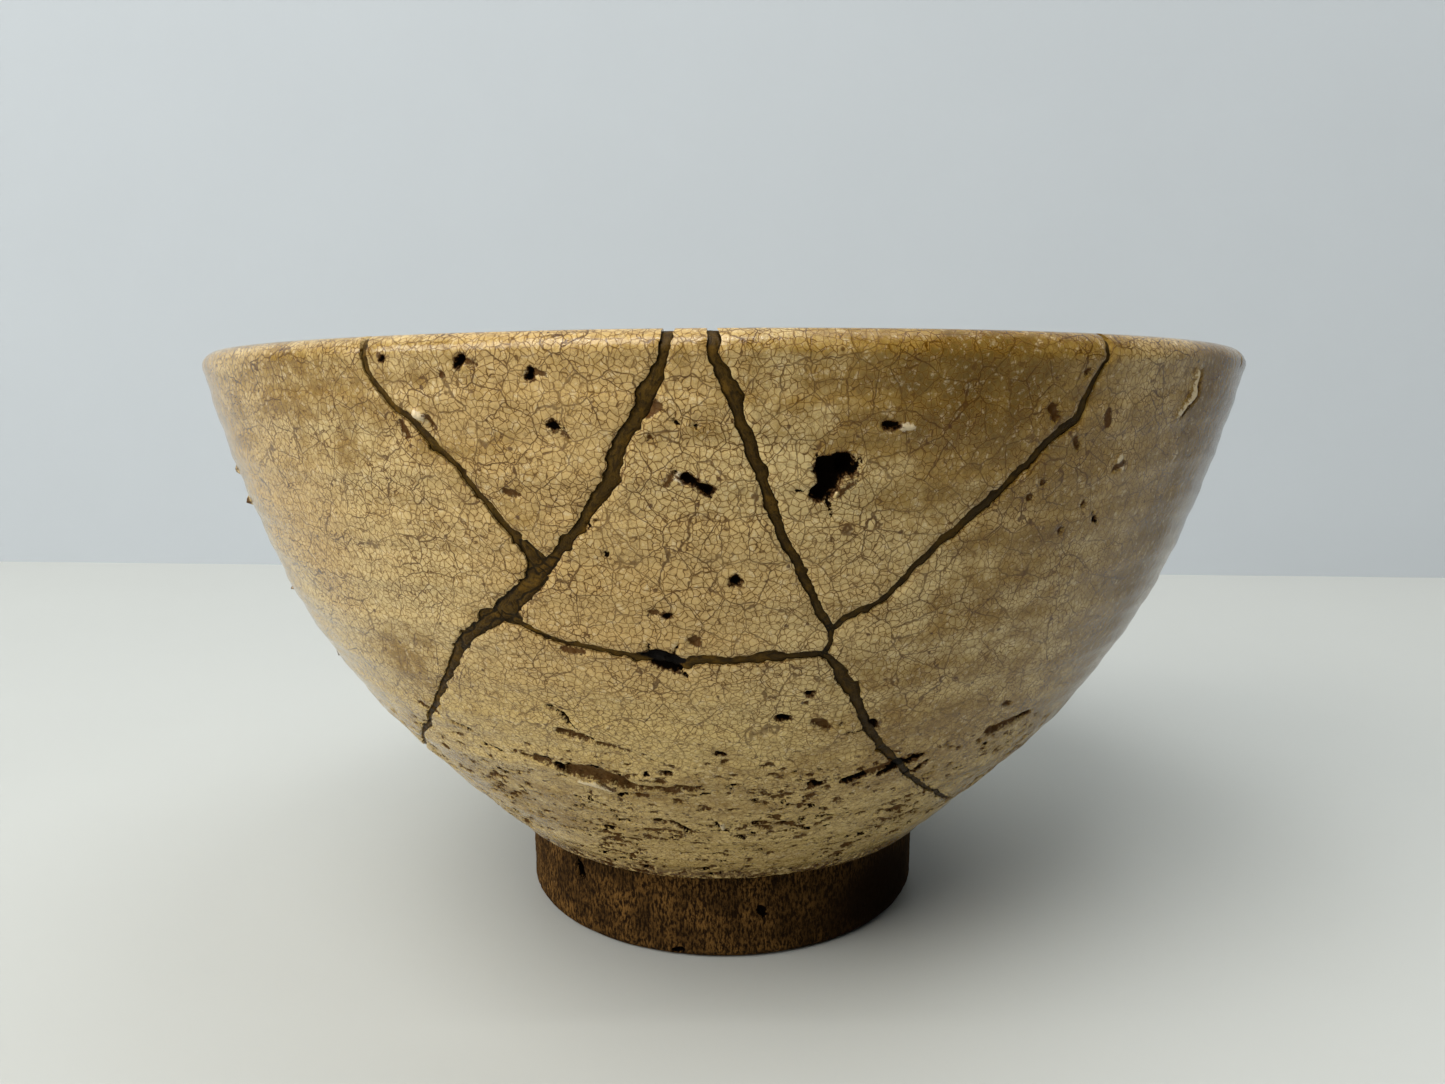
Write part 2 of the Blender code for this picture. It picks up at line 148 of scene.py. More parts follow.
# Between the rows of a net of even triangles, the closest that a point of the net comes to a
# break, and how far it is shaken from its place, as shares of the spacing
ROW_STEP = 0.866
CLOSEST = 0.55
SHAKE = 0.12
# Points along the outline of the section
ROUND_STEPS = 8
WALL_POINTS = 401
INSIDE_POINTS = 301
FLOOR_POINTS = 120
LIP_STEPS = 24
LIP_STATIONS = [1 + (i + 1) / LIP_STEPS for i in range(LIP_STEPS)]
SEED = 7
# Small enough to count as nothing
HAIR = 1e-9

# How the surfaces are worked: throwing rings, where the glaze ends, how deep the lacquer lies
RING_PITCH = 5.7
FINE_RING_PITCH = 2.3
INSIDE_RING_PITCH = 6.5
GLAZE_ENDS_AT = 12.9
LACQUER_SINKS = 0.34
LACQUER_SINKS_INSIDE = 0.25
SHARP_ANGLE = math.radians(50)
USUAL_TINT = 0.35
MOST_TINT = 1.2
# A mark is an ink from 0 to 1, 0.5 at its edge and full this many mm inside it
FIELD = 0.6
INK = {"black": 0, "brown": 1, "pale": 2}


def spread_at(share):
    """Share of the spread at a share of the wall's height, on a smooth curve."""
    last = len(WALL_OUTLINE) - 1

    def slope(index):
        if index == last:
            return math.tan(RIM_LEAN) * WALL_HEIGHT / SPREAD
        low = WALL_OUTLINE[max(index - 1, 0)]
        high = WALL_OUTLINE[index + 1]
        return (high[1] - low[1]) / (high[0] - low[0])

    if share >= 1:
        return 1 + slope(last) * (share - 1)
    upper = next(i for i in range(1, last + 1) if share <= WALL_OUTLINE[i][0])
    (x0, y0), (x1, y1) = WALL_OUTLINE[upper - 1], WALL_OUTLINE[upper]
    span = x1 - x0
    t = (share - x0) / span
    return (
        (1 + 2 * t) * (1 - t) ** 2 * y0 + t * (1 - t) ** 2 * span * slope(upper - 1)
        + t ** 2 * (3 - 2 * t) * y1 + t ** 2 * (t - 1) * span * slope(upper)
    )


def outside(share):
    """Radius and height of the outside of the wall."""
    return Vector((FOOT_RADIUS + SPREAD * spread_at(share), FOOT_HEIGHT + WALL_HEIGHT * share))


def outward(share):
    """Unit normal of the outside, as radius and height."""
    nudge = 0.002
    along = outside(share + nudge) - outside(max(share - nudge, 0))
    return Vector((along.y, -along.x)).normalized()


def inside(share):
    """Radius and height of the inside of the wall."""
    thickness = WALL_AT_LIP + (WALL_AT_FOOT - WALL_AT_LIP) * max(1 - share, 0) ** WALL_EASE
    return outside(share) - outward(share) * thickness


def arc(centre, radius, start, end, steps):
    """Points of an arc between two angles in degrees, without its first point."""
    angles = [math.radians(start + (end - start) * i / steps) for i in range(1, steps + 1)]
    return [centre + radius * Vector((math.cos(a), math.sin(a))) for a in angles]


class Sheet:
    """One side of the bowl: its section, and the flat map that keeps the shapes of triangles."""

    def __init__(self, stations, points, side):
        """Stations u, the section's radius r, height z and run s, its normal as nr and nz, and
        log, where a station lies on the flat map. A turn and a log are scaled alike there."""
        points = np.array([tuple(p) for p in points])
        steps = np.diff(points, axis=0)
        lengths = np.hypot(steps[:, 0], steps[:, 1])
        middle = (points[1:, 0] + points[:-1, 0]) / 2
        self.u = np.array(stations, float)
        self.r, self.z = points.T
        self.s = np.concatenate(([0], np.cumsum(lengths)))
        self.log = np.concatenate(([0], np.cumsum(lengths / np.maximum(middle, 0.05))))
        self.log -= self.log[-1]
        along = np.gradient(points, self.s + np.arange(len(self.s)) * 1e-9, axis=0)
        along /= np.hypot(along[:, 0], along[:, 1])[:, None]
        self.nr, self.nz = along[:, 1] * side, -along[:, 0] * side

    def at(self, station, name):
        """A property of the section at stations."""
        return np.interp(station, self.u, getattr(self, name))

    def station(self, log):
        """The station at a height on the flat map."""
        return np.interp(log, self.log, self.u)

    def flat(self, azimuth, station):
        """Where points lie on the flat map."""
        turn = np.radians(azimuth)
        reach = np.exp(self.at(station, "log"))
        return np.stack((reach * np.sin(turn), -reach * np.cos(turn)), 1)

    def place(self, azimuth, station):
        """Positions and unit normals of points on the bowl."""
        turn = np.radians(azimuth)
        radius, height = self.at(station, "r"), self.at(station, "z")
        share = np.maximum(height - FOOT_HEIGHT, 0) / WALL_HEIGHT
        radius = radius + OVAL * share * np.cos(2 * np.radians(azimuth - OVAL_AT))
        height = height + RIM_WAVE * share ** 4 * np.cos(2 * np.radians(azimuth - RIM_HIGH_AT))
        nr, nz = self.at(station, "nr"), self.at(station, "nz")
        sin, cos = np.sin(turn), -np.cos(turn)
        return (np.stack((radius * sin, radius * cos, height), 1),
                np.stack((nr * sin, nr * cos, nz), 1))


def dense(points, step=0.25):
    """Points of a polyline with more between them."""
    result = [points[0]]
    for start, end in zip(points, points[1:]):
        count = max(1, math.ceil((end - start).length / step))
        result += [start.lerp(end, i / count) for i in range(1, count + 1)]
    return result


def lip_arc(start, end):
    """The lip between two angles from the wall's normal, without its first point."""
    lean = math.degrees(math.atan2(outward(1).y, outward(1).x))
    centre = outside(1) - outward(1) * LIP_RADIUS
    return arc(centre, LIP_RADIUS, lean + start, lean + end, LIP_STEPS)


def outer_sheet():
    """The underside from the axis, the foot, the outside of the wall, and the lip to its crest."""
    ring_inner = FOOT_RADIUS - FOOT_RING_WIDTH
    corner = Vector((ring_inner - RECESS_TAPER - RECESS_FILLET, RECESS_DEPTH - RECESS_FILLET))
    edge = Vector((FOOT_RADIUS - FOOT_EDGE_ROUND, FOOT_EDGE_ROUND))
    under = [
        Vector((0.01, RECESS_DEPTH - NUB_DROP)),
        Vector((NUB_RADIUS * 0.4, RECESS_DEPTH - NUB_DROP * 0.8)),
        Vector((NUB_RADIUS, RECESS_DEPTH)),
        Vector((corner.x, RECESS_DEPTH)),
    ]
    under += arc(corner, RECESS_FILLET, 90, 0, ROUND_STEPS)
    under += [Vector((ring_inner - 0.5, 0.3)), Vector((ring_inner + 0.4, 0)),
              Vector((FOOT_RADIUS - FOOT_EDGE_ROUND, 0))]
    under += arc(edge, FOOT_EDGE_ROUND, -90, 0, ROUND_STEPS)
    under = dense(under + [outside(0)])
    lengths = [(b - a).length for a, b in zip(under, under[1:])]
    stations = [-sum(lengths[i:]) / 100 for i in range(len(lengths))]
    shares = np.linspace(0, 1, WALL_POINTS)
    return Sheet(stations + list(shares) + LIP_STATIONS,
                 under[:-1] + [outside(s) for s in shares] + lip_arc(0, 90), 1)


def inner_sheet():
    """The floor from the axis, the inside of the wall, and the lip to its crest."""
    edge = inside(FLOOR_JOIN)
    rise = edge.y - FLOOR_TOP
    along = inside(FLOOR_JOIN * 1.05) - edge
    power = along.y / along.x * edge.x / rise
    reaches = np.linspace(0.001, 1, FLOOR_POINTS)[:-1]
    floor = [Vector((edge.x * t, FLOOR_TOP + rise * t ** power)) for t in reaches]
    shares = np.linspace(FLOOR_JOIN, 1, INSIDE_POINTS)
    return Sheet([FLOOR_JOIN - 1 + t for t in reaches] + list(shares) + LIP_STATIONS,
                 floor + [inside(s) for s in shares] + lip_arc(180, 90), -1)


OUTER = outer_sheet()
INNER = inner_sheet()
WALL = OUTER.u >= 0
ARC_AT_HEIGHT = (OUTER.z[WALL], OUTER.s[WALL])


def noise_at(points, size, seed=0, squash=1.0):
    """Smooth noise from -1 to 1, with features about this many mm across."""
    scaled = np.asarray(points) * (1 / size, 1 / size, squash / size) + seed * 37.7
    return np.array([noise.noise(p) for p in scaled.tolist()])


def noise_along(places, size, seed):
    """Smooth noise along a line, at these distances from its start."""
    return noise_at(np.stack((places, places * 0, places * 0), 1), size, seed)


def ramp(value, low, high):
    """0 below low, 1 above high, smooth between. High may be below low."""
    t = np.clip((value - low) / (high - low), 0, 1)
    return t * t * (3 - 2 * t)


def seam_spacing(azimuth):
    """How far apart the points of a break are."""
    return FINE * 0.85 if abs(azimuth) < FINE_TO + 3 else 0.9


def ribbon_outline(stops, seed):
    """The ragged outline of the lacquer in one break, as (azimuth, station) points."""
    logs = OUTER.at([s[1] for s in stops], "log")
    nodes = np.stack((np.radians([s[0] for s in stops]), logs), 1)
    widths = np.array([s[2] for s in stops])
    radii = OUTER.at([s[1] for s in stops], "r")
    spans = np.hypot(*np.diff(nodes, axis=0).T) * (radii[1:] + radii[:-1]) / 2
    run = np.concatenate(([0], np.cumsum(spans)))
    places = [0.0]
    while places[-1] < run[-1]:
        azimuth = np.interp(places[-1], run, [s[0] for s in stops])
        places.append(places[-1] + seam_spacing(azimuth))
    places = np.array(places) * run[-1] / places[-1]
    line = np.stack([np.interp(places, run, nodes[:, i]) for i in (0, 1)], 1)
    radius = np.interp(OUTER.station(line[:, 1]), OUTER.u, OUTER.r)
    fade = ramp(np.minimum(places, places[-1] - places), 0, 2)
    along = np.gradient(line, axis=0)
    along /= np.hypot(*along.T)[:, None]
    across = np.stack((-along[:, 1], along[:, 0]), 1)
    line += across * (noise_along(places, 3.1, seed) * 0.35 * fade / radius)[:, None]
    width = np.interp(places, run, widths) / 2
    sides = []
    for side in (-1, 1):
        rough = sum(noise_along(places, size, seed + side * turn) * amount for size, turn, amount
                    in ((1.7, 3, 0.40), (0.75, 5, 0.40), (0.4, 7, 0.25)))
        chips = ramp(noise_along(places, 1.3, seed + side * 13), 0.22, 0.5)
        reach = width * (1 + rough * 0.4) + rough * 0.2 + chips * 0.3 * fade
        sides.append(line + across * (side * np.maximum(reach, 0.15) / radius)[:, None])
    highest = OUTER.log[-1]
    for side in sides:
        side[:, 1] = np.minimum(side[:, 1], highest - 0.0004)
        if stops[0][1] == CREST:
            side[0, 1] = highest
    outline = np.concatenate((sides[0], sides[1][::-1]))
    return np.degrees(outline[:, 0]), OUTER.station(outline[:, 1])


def patch_outline(corners, step):
    """A drawn outline with more points and a little raggedness."""
    azimuths, heights = np.array(corners + corners[:1]).T
    arcs = np.interp(heights, *ARC_AT_HEIGHT)
    radius = np.interp(heights, OUTER.z[WALL], OUTER.r[WALL])
    run = np.concatenate(([0], np.cumsum(np.hypot(
        np.radians(np.diff(azimuths)) * radius[1:], np.diff(arcs)))))
    places = np.arange(0, run[-1] - step / 2, step)
    azimuth = np.interp(places, run, azimuths) + noise_along(places, 0.8, 50) * 0.25
    arcs = np.interp(places, run, arcs) + noise_along(places, 0.8, 51) * 0.25
    return azimuth, np.interp(arcs, OUTER.s, OUTER.u)


def triangulate(points, edges, kind):
    """Blender's constrained Delaunay triangulation of flat points."""
    return delaunay_2d_cdt([Vector(p) for p in points.tolist()], edges, [], kind, 1e-7, True)


def break_lines():
    """The outlines of all the lacquer, cut where they cross: (azimuths, stations, edges)."""
    azimuths, stations, edges = [], [], []
    outlines = [ribbon_outline(stops, i * 11) for i, stops in enumerate(BREAKS)]
    outlines.append(patch_outline(LEFT_PATCH, FINE))
    for azimuth, station in outlines:
        first, count = len(azimuths), len(azimuth)
        azimuths += list(azimuth)
        stations += list(station)
        edges += [(first + i, first + (i + 1) % count) for i in range(count)]
    flat = OUTER.flat(np.array(azimuths), np.array(stations))
    verts, cut, _, origin, drawn, _ = triangulate(flat, edges, 2)
    azimuth = np.degrees(np.arctan2([v.x for v in verts], [-v.y for v in verts]))
    reach = np.array([max(v.length, 1e-9) for v in verts])
    station = OUTER.station(np.log(reach))
    for i, sources in enumerate(origin):
        if sources:
            station[i] = stations[sources[0]]
            azimuth[i] = (azimuths[sources[0]] + 180) % 360 - 180
    return azimuth, station, [tuple(e) for e, sources in zip(cut, drawn) if sources]


def with_crest(azimuth, station, edges):
    """Add the circle of the lip's crest, through the ends of the breaks."""
    ends = np.nonzero(station >= CREST - HAIR)[0]
    taken = azimuth[ends]
    circle, at = [], -180.0
    radius = OUTER.r[-1]
    while at < 180:
        near = abs(at) < FINE_TO
        step = FINE if near else 2 * FINE if abs(at) < MIDDLE_TO else 1.0
        if np.min(np.abs(taken - at)) * math.pi / 180 * radius > 0.4 * step:
            circle.append(at)
        at += math.degrees(step / radius)
    if (circle[0] + 360 - circle[-1]) * math.pi / 180 * radius < 0.4:
        circle.pop()
    order = sorted([(a, i) for a, i in zip(taken, ends)]
                   + [(a, len(azimuth) + i) for i, a in enumerate(circle)])
    ring = [i for _, i in order]
    azimuth = np.concatenate((azimuth, circle))
    station = np.concatenate((station, np.full(len(circle), CREST)))
    known = {frozenset(e) for e in edges}
    extra = [(a, b) for a, b in zip(ring, ring[1:] + ring[:1]) if frozenset((a, b)) not in known]
    return azimuth, station, edges + extra


def scatter(sheet, finest, wanted, levels):
    """Points over a sheet on a net that is finer where wanted() says so."""
    rng = np.random.RandomState(SEED)
    azimuths, stations = [], []
    log, row = sheet.log[-1], 0
    while True:
        radius = float(np.interp(log, sheet.log, sheet.r))
        log -= ROW_STEP * finest / radius
        row += 1
        if log < sheet.log[0] or radius < 1.5:
            break
        for level in range(levels):
            if row % 2 ** level:
                continue
            spacing = finest * 2 ** level
            count = max(6, round(math.tau * radius / spacing))
            start = 0.5 * (row // 2 ** level % 2)
            azimuth = (np.arange(count) + start) * 360 / count - 180
            chosen = np.log2(np.maximum(wanted(azimuth, log) / finest, 1) + 0.02)
            azimuth = azimuth[np.minimum(chosen.astype(int), levels - 1) == level]
            shake = rng.uniform(-SHAKE, SHAKE, (2, len(azimuth))) * spacing / radius
            azimuths.append(azimuth + np.degrees(shake[0]))
            stations.append(sheet.station(log + shake[1]))
    return np.concatenate(azimuths), np.concatenate(stations)


def wanted_outside(azimuth, log):
    """Spacing of the points of the outer sheet."""
    station = OUTER.station(log)
    off = np.abs(azimuth)
    if station < -0.14:
        return np.full(len(azimuth), 4 * FINE)
    return np.where(off < FINE_TO, FINE, np.where(off < MIDDLE_TO, 2 * FINE, 4 * FINE))


def wanted_inside_from(tree):
    """Spacing of the points of the inner sheet: fine beside the breaks and the crest."""
    logs = np.linspace(INNER.log[0], INNER.log[-1], 140)
    turns = np.arange(-180, 180, 1.0)
    grid = np.empty((len(logs), len(turns)))
    for i, log in enumerate(logs):
        station = np.full(len(turns), INNER.station(log))
        points, _ = INNER.place(turns, station)
        grid[i] = [tree.find(p)[2] for p in points.tolist()]

    def wanted(azimuth, log):
        row = grid[int(np.clip(round(np.interp(log, logs, np.arange(140))), 0, 139))]
        distance = np.interp(azimuth, turns, row)
        return np.clip(INSIDE_FINE * 0.7 + 0.4 * distance, INSIDE_FINE, INSIDE_COARSE)

    return wanted


def tree_of(points):
    """A tree that finds the nearest of the points."""
    tree = KDTree(len(points))
    for i, point in enumerate(points.tolist()):
        tree.insert(point, i)
    tree.balance()
    return tree


def cover(sheet, azimuth, station, edges, finest, wanted, levels):
    """Triangles over one sheet. The first points are those of the breaks and the crest."""
    lines, _ = sheet.place(azimuth, station)
    tree = tree_of(lines)
    more = scatter(sheet, finest, wanted or wanted_inside_from(tree), levels)
    points, _ = sheet.place(*more)
    distance = np.array([tree.find(p)[2] for p in points.tolist()])
    keep = distance > CLOSEST * finest
    azimuth = np.concatenate((azimuth, more[0][keep], [0.0]))
    station = np.concatenate((station, more[1][keep], [sheet.u[0]]))
    flat = sheet.flat(azimuth, station)
    flat[-1] = 0
    out = triangulate(flat, edges, 0)
    source = np.array([ids[0] if ids else -1 for ids in out[3]])
    triangles = source[np.array(out[2])]
    triangles = triangles[(triangles >= 0).all(axis=1)]
    return azimuth, station, triangles


def sides_of(triangles):
    """The three directed edges of each triangle: all first ones, all second, all third."""
    return np.concatenate([triangles[:, [i, (i + 1) % 3]] for i in range(3)])


def keys_of(edges, size):
    """One number for each edge, whatever its direction."""
    edges = np.sort(edges, axis=1)
    return edges[:, 0].astype(np.int64) * size + edges[:, 1]


def regions(triangles, walls):
    """A number for each triangle, the same for all within the same lines."""
    count = len(triangles)
    owner = np.tile(np.arange(count), 3)
    size = int(triangles.max()) + 1
    keys = keys_of(sides_of(triangles), size)
    closed = keys_of(np.array(walls), size)
    order = np.argsort(keys, kind="stable")
    keys, owner = keys[order], owner[order]
    pair = np.nonzero((keys[1:] == keys[:-1]) & ~np.isin(keys[1:], closed))[0]
    first, second = owner[pair], owner[pair + 1]
    label = np.arange(count)
    while True:
        low = np.minimum(label[first], label[second])
        fresh = label.copy()
        np.minimum.at(fresh, label[first], low)
        np.minimum.at(fresh, label[second], low)
        fresh = fresh[fresh[fresh]]
        if (fresh == label).all():
            return label
        label = fresh


def piece_of(sheet, azimuth, station, triangles, walls):
    """The name of the piece that each triangle belongs to."""
    label = regions(triangles, walls)
    points, _ = sheet.place(azimuth, station)
    middles = points[triangles].mean(axis=1)
    names = np.full(len(triangles), "lacquer_seams", dtype=object)
    for name, (at, share) in SHERDS.items():
        place, _ = sheet.place(np.array([at], float), np.array([share], float))
        nearest = np.argmin(((middles - place[0]) ** 2).sum(axis=1))
        names[label == label[nearest]] = name
    return names


# Marks in the glaze. Each is a kind, a depth, and azimuth, height and half width of each
# point of a stroke.
MARKS = (
    # The big pit with its hairlines
    ("black", 1.2, 8.9, 71.0, 1.05, 7.6, 70.6, 1.15, 8.0, 69.2, 0.9, 7.2, 68.3, 0.85),
    ("black", 0.9, 9.2, 70.6, 0.9, 9.7, 70.3, 0.4),
    ("black", 0.2, 7.0, 71.4, 0.15, 6.6, 72.3, 0.08),
    ("black", 0.2, 7.9, 67.6, 0.25, 8.4, 66.2, 0.06),
    ("black", 0.2, 9.9, 70.7, 0.2, 10.2, 71.5, 0.07),
    ("brown", 0.1, 10.0, 69.6, 0.2, 9.2, 68.6, 0.25, 8.7, 67.9, 0.15),
    ("black", 0.1, 5.3, 68.5, 0.06, 6.5, 68.6, 0.06, 7.0, 68.7, 0.1),
    # The double pit in the middle
    ("black", 0.5, -2.6, 69.7, 0.5, -2.1, 69.4, 0.4),
    ("black", 0.6, -1.7, 69.0, 0.35, -1.1, 68.7, 0.5, -0.5, 68.9, 0.2),
    ("black", 0.2, -1.1, 68.5, 0.25, -1.0, 67.9, 0.08),
    ("pale", 0.0, -3.3, 69.9, 0.5, -2.9, 69.5, 0.4),
    ("pale", 0.0, -2.0, 69.1, 0.25, -1.9, 69.0, 0.2),
    ("brown", 0.1, -3.6, 70.2, 0.25, -4.2, 69.2, 0.3),
    # Pits along the rim
    ("black", 0.5, -18.9, 80.5, 0.45, -19.3, 79.9, 0.3),
    ("brown", 0.2, -18.6, 80.3, 0.3, -17.7, 79.9, 0.25),
    ("black", 0.5, -13.6, 79.4, 0.25, -13.7, 78.8, 0.45),
    ("brown", 0.2, -13.3, 79.2, 0.3, -12.4, 78.9, 0.2), ("black", 0.3, -12.2, 74.4, 0.55),
    ("black", 0.15, -12.9, 74.6, 0.12, -11.4, 74.1, 0.12),
    ("brown", 0.15, -11.8, 74.0, 0.2, -10.9, 73.0, 0.06), ("black", 0.3, -25.9, 80.7, 0.3),
    ("brown", 0.2, -20.7, 79.1, 0.35), ("brown", 0.3, -25.3, 74.6, 0.4, -24.9, 73.4, 0.35),
    ("brown", 0.3, -22.6, 75.2, 0.3, -22.2, 74.4, 0.3),
    ("pale", -0.5, -23.5, 75.5, 0.6, -23.0, 75.3, 0.4),
    ("brown", 0.3, -17.0, 68.3, 0.35, -15.8, 68.0, 0.3),
    ("brown", 0.3, -4.6, 76.2, 0.5, -5.3, 75.6, 0.55), ("brown", 0.2, -5.2, 73.5, 0.4),
    ("black", 0.3, -3.4, 74.9, 0.2, -3.0, 74.6, 0.15), ("black", 0.3, -1.9, 74.5, 0.25),
    ("black", 0.3, -3.5, 70.3, 0.1), ("black", 0.2, -10.4, 65.1, 0.2),
    ("black", 0.3, -9.3, 62.4, 0.25), ("black", 0.6, 1.0, 59.8, 0.55),
    ("brown", 0.2, -6.2, 56.4, 0.3, -5.6, 56.4, 0.35),
    ("black", 0.3, -4.8, 56.0, 0.3, -4.3, 56.1, 0.15), ("brown", 0.4, -2.5, 53.3, 0.7),
    ("brown", 0.2, -14.6, 52.0, 0.35, -12.6, 51.7, 0.3),
    # Right of the front
    ("black", 0.4, 11.7, 74.5, 0.35, 12.6, 74.4, 0.3),
    ("pale", -0.2, 13.0, 74.3, 0.4, 13.9, 74.2, 0.3),
    ("brown", 0.4, 25.6, 75.9, 0.5, 26.1, 75.2, 0.5), ("brown", 0.3, 28.3, 79.2, 0.4),
    ("brown", 0.3, 28.9, 72.9, 0.3, 29.3, 72.1, 0.3),
    ("brown", 0.1, 31.7, 75.3, 0.5, 32.1, 74.3, 0.6),
    ("pale", -0.2, 35.0, 70.7, 0.5, 35.6, 69.9, 0.4),
    ("brown", 0.2, 35.5, 70.2, 0.4, 34.7, 69.6, 0.3), ("black", 0.3, 34.1, 64.5, 0.35),
    ("black", 0.15, 33.6, 65.1, 0.1, 34.6, 63.9, 0.1), ("brown", 0.3, 30.1, 63.6, 0.35),
    ("brown", 0.3, 26.4, 68.8, 0.4), ("brown", 0.3, 25.5, 67.2, 0.35),
    ("brown", 0.3, 32.1, 66.2, 0.35),
    ("black", 0.5, 44.1, 79.3, 0.35, 44.7, 77.3, 0.3, 42.9, 75.1, 0.3),
    ("pale", -0.35, 43.3, 79.4, 0.4, 43.9, 77.4, 0.4, 42.2, 75.2, 0.4),
    ("black", 0.4, 56.0, 82.8, 0.25, 56.2, 80.7, 0.12),
    # The pit on the seam across the front
    ("black", 0.8, -7.2, 51.7, 0.45, -5.4, 51.6, 0.8, -3.8, 51.0, 0.55),
    ("black", 0.5, -6.0, 50.7, 0.5, -4.0, 50.2, 0.5),
    ("black", 0.4, -3.8, 50.1, 0.25, -3.3, 49.2, 0.22),
    ("black", 0.3, -6.6, 52.4, 0.15, -6.5, 52.9, 0.1),
    ("black", 0.3, -4.2, 52.2, 0.15, -3.9, 53.0, 0.08),
    # The hooked crack and the gouges
    ("black", 0.4, -18.3, 44.5, 0.1, -17.4, 44.3, 0.18, -16.7, 43.6, 0.25, -16.4, 42.5, 0.22,
     -15.6, 41.6, 0.08),
    ("black", 0.15, -16.5, 43.2, 0.1, -15.8, 42.9, 0.06),
    ("brown", 0.6, -17.9, 41.1, 0.35, -16.6, 40.8, 0.55, -15.0, 40.2, 0.4),
    ("black", 0.3, -18.0, 41.5, 0.12, -16.2, 41.4, 0.15, -14.2, 40.4, 0.2),
    ("brown", 0.3, -13.6, 40.0, 0.25, -12.0, 39.5, 0.35, -10.5, 39.0, 0.2),
    ("black", 0.9, -19.9, 35.5, 0.85),
    ("brown", 0.9, -19.0, 34.9, 0.9, -16.5, 34.8, 1.3, -13.6, 34.3, 1.2, -11.6, 32.9, 0.7),
    ("pale", -0.2, -18.6, 33.3, 0.3, -16.6, 33.0, 0.5, -14.2, 32.2, 0.4),
    ("black", 0.5, -18.6, 35.9, 0.3, -15.6, 36.0, 0.35, -13.0, 35.0, 0.35, -11.0, 33.7, 0.25),
    ("brown", 0.7, -11.6, 33.2, 0.6, -8.5, 33.0, 0.5, -5.0, 33.2, 0.55, -3.6, 33.4, 0.3),
    ("black", 0.4, -5.4, 33.8, 0.25, -3.7, 33.5, 0.35, -2.6, 33.7, 0.2),
    ("brown", 0.5, -24.6, 36.6, 0.3, -22.9, 36.2, 0.5, -21.2, 35.8, 0.5),
    ("black", 0.3, -22.6, 36.8, 0.3, -21.2, 36.4, 0.4),
    # Pits below the seam across the front
    ("black", 0.5, 5.6, 44.1, 0.45, 6.5, 43.9, 0.45),
    ("brown", 0.5, 9.4, 43.3, 0.5, 10.3, 42.9, 0.6, 11.0, 42.5, 0.3),
    ("brown", 0.3, 12.4, 42.8, 0.3), ("brown", 0.3, 8.2, 45.9, 0.3),
    ("black", 0.3, 8.2, 47.1, 0.3, 8.6, 47.2, 0.2),
    ("black", 0.4, -0.5, 39.1, 0.35, 0.1, 39.0, 0.25), ("brown", 0.3, 0.4, 37.8, 0.45),
    ("black", 0.3, -7.0, 35.9, 0.3, -6.2, 35.9, 0.3),
    ("black", 0.5, 11.0, 33.9, 0.6, 12.0, 33.8, 0.45),
    ("brown", 0.3, 12.3, 34.1, 0.2, 14.5, 34.6, 0.15),
    ("brown", 0.4, 6.7, 31.6, 0.5, 7.8, 31.9, 0.5, 8.9, 32.4, 0.3), ("black", 0.3, 4.2, 31.3, 0.35),
    ("pale", -0.4, -0.3, 26.7, 0.4, 0.0, 25.9, 0.45),
    ("black", 0.4, -0.9, 26.9, 0.2, -0.4, 25.6, 0.2),
    ("black", 0.25, 0.4, 25.9, 0.1, 1.8, 26.3, 0.1, 3.5, 26.6, 0.12),
    ("black", 0.4, 4.6, 26.6, 0.25, 6.0, 27.0, 0.3),
    ("black", 0.5, 9.3, 26.4, 0.4, 10.3, 26.6, 0.35),
    ("black", 0.4, -7.6, 26.8, 0.2, -6.2, 25.8, 0.3, -5.2, 25.0, 0.35),
    ("black", 0.35, -9.8, 26.9, 0.3, -9.0, 26.8, 0.3),
    ("brown", 0.3, -10.2, 24.8, 0.3, -8.2, 24.8, 0.35, -6.2, 24.6, 0.3),
    # Beside the seam that runs down to the right
    ("black", 0.6, 15.9, 42.6, 0.55, 16.4, 42.0, 0.3),
    ("black", 0.3, 13.2, 41.5, 0.1, 15.4, 41.6, 0.18),
    ("brown", 0.5, 15.4, 34.3, 0.5, 18.0, 35.2, 0.75, 21.6, 36.3, 0.6),
    ("black", 0.5, 15.2, 33.9, 0.6, 17.2, 34.5, 0.5),
    ("black", 0.4, 19.8, 34.6, 0.5, 22.6, 36.0, 0.55, 24.4, 36.6, 0.3),
    ("black", 0.4, 24.0, 33.2, 0.25, 25.4, 34.2, 0.45, 26.0, 35.4, 0.3),
    ("black", 0.4, 27.6, 32.4, 0.25, 28.8, 32.7, 0.25),
    ("brown", 0.5, 33.8, 38.2, 0.7, 36.6, 38.6, 0.6, 39.6, 39.2, 0.7),
    ("black", 0.4, 39.4, 38.9, 0.4, 40.6, 39.5, 0.3),
    ("brown", 0.4, 33.2, 42.4, 0.5, 34.2, 42.2, 0.3),
    ("black", 0.4, 46.0, 33.1, 0.2, 47.2, 33.6, 0.2),
    # Beside the end of the seam that runs down to the left
    ("brown", 0.4, -37.4, 41.6, 0.4, -35.4, 40.6, 0.4),
    ("black", 0.3, -33.6, 39.8, 0.2, -31.0, 39.0, 0.25),
    ("black", 0.3, -30.4, 37.0, 0.2, -27.8, 36.4, 0.2),
    # Warts on the sides
    ("brown", -0.6, -63.5, 68.0, 0.35), ("brown", -0.7, -64.0, 63.8, 0.45),
    ("brown", -0.6, -67.0, 51.5, 0.40), ("brown", -0.7, -69.5, 41.5, 0.50, -68.5, 41.2, 0.3),
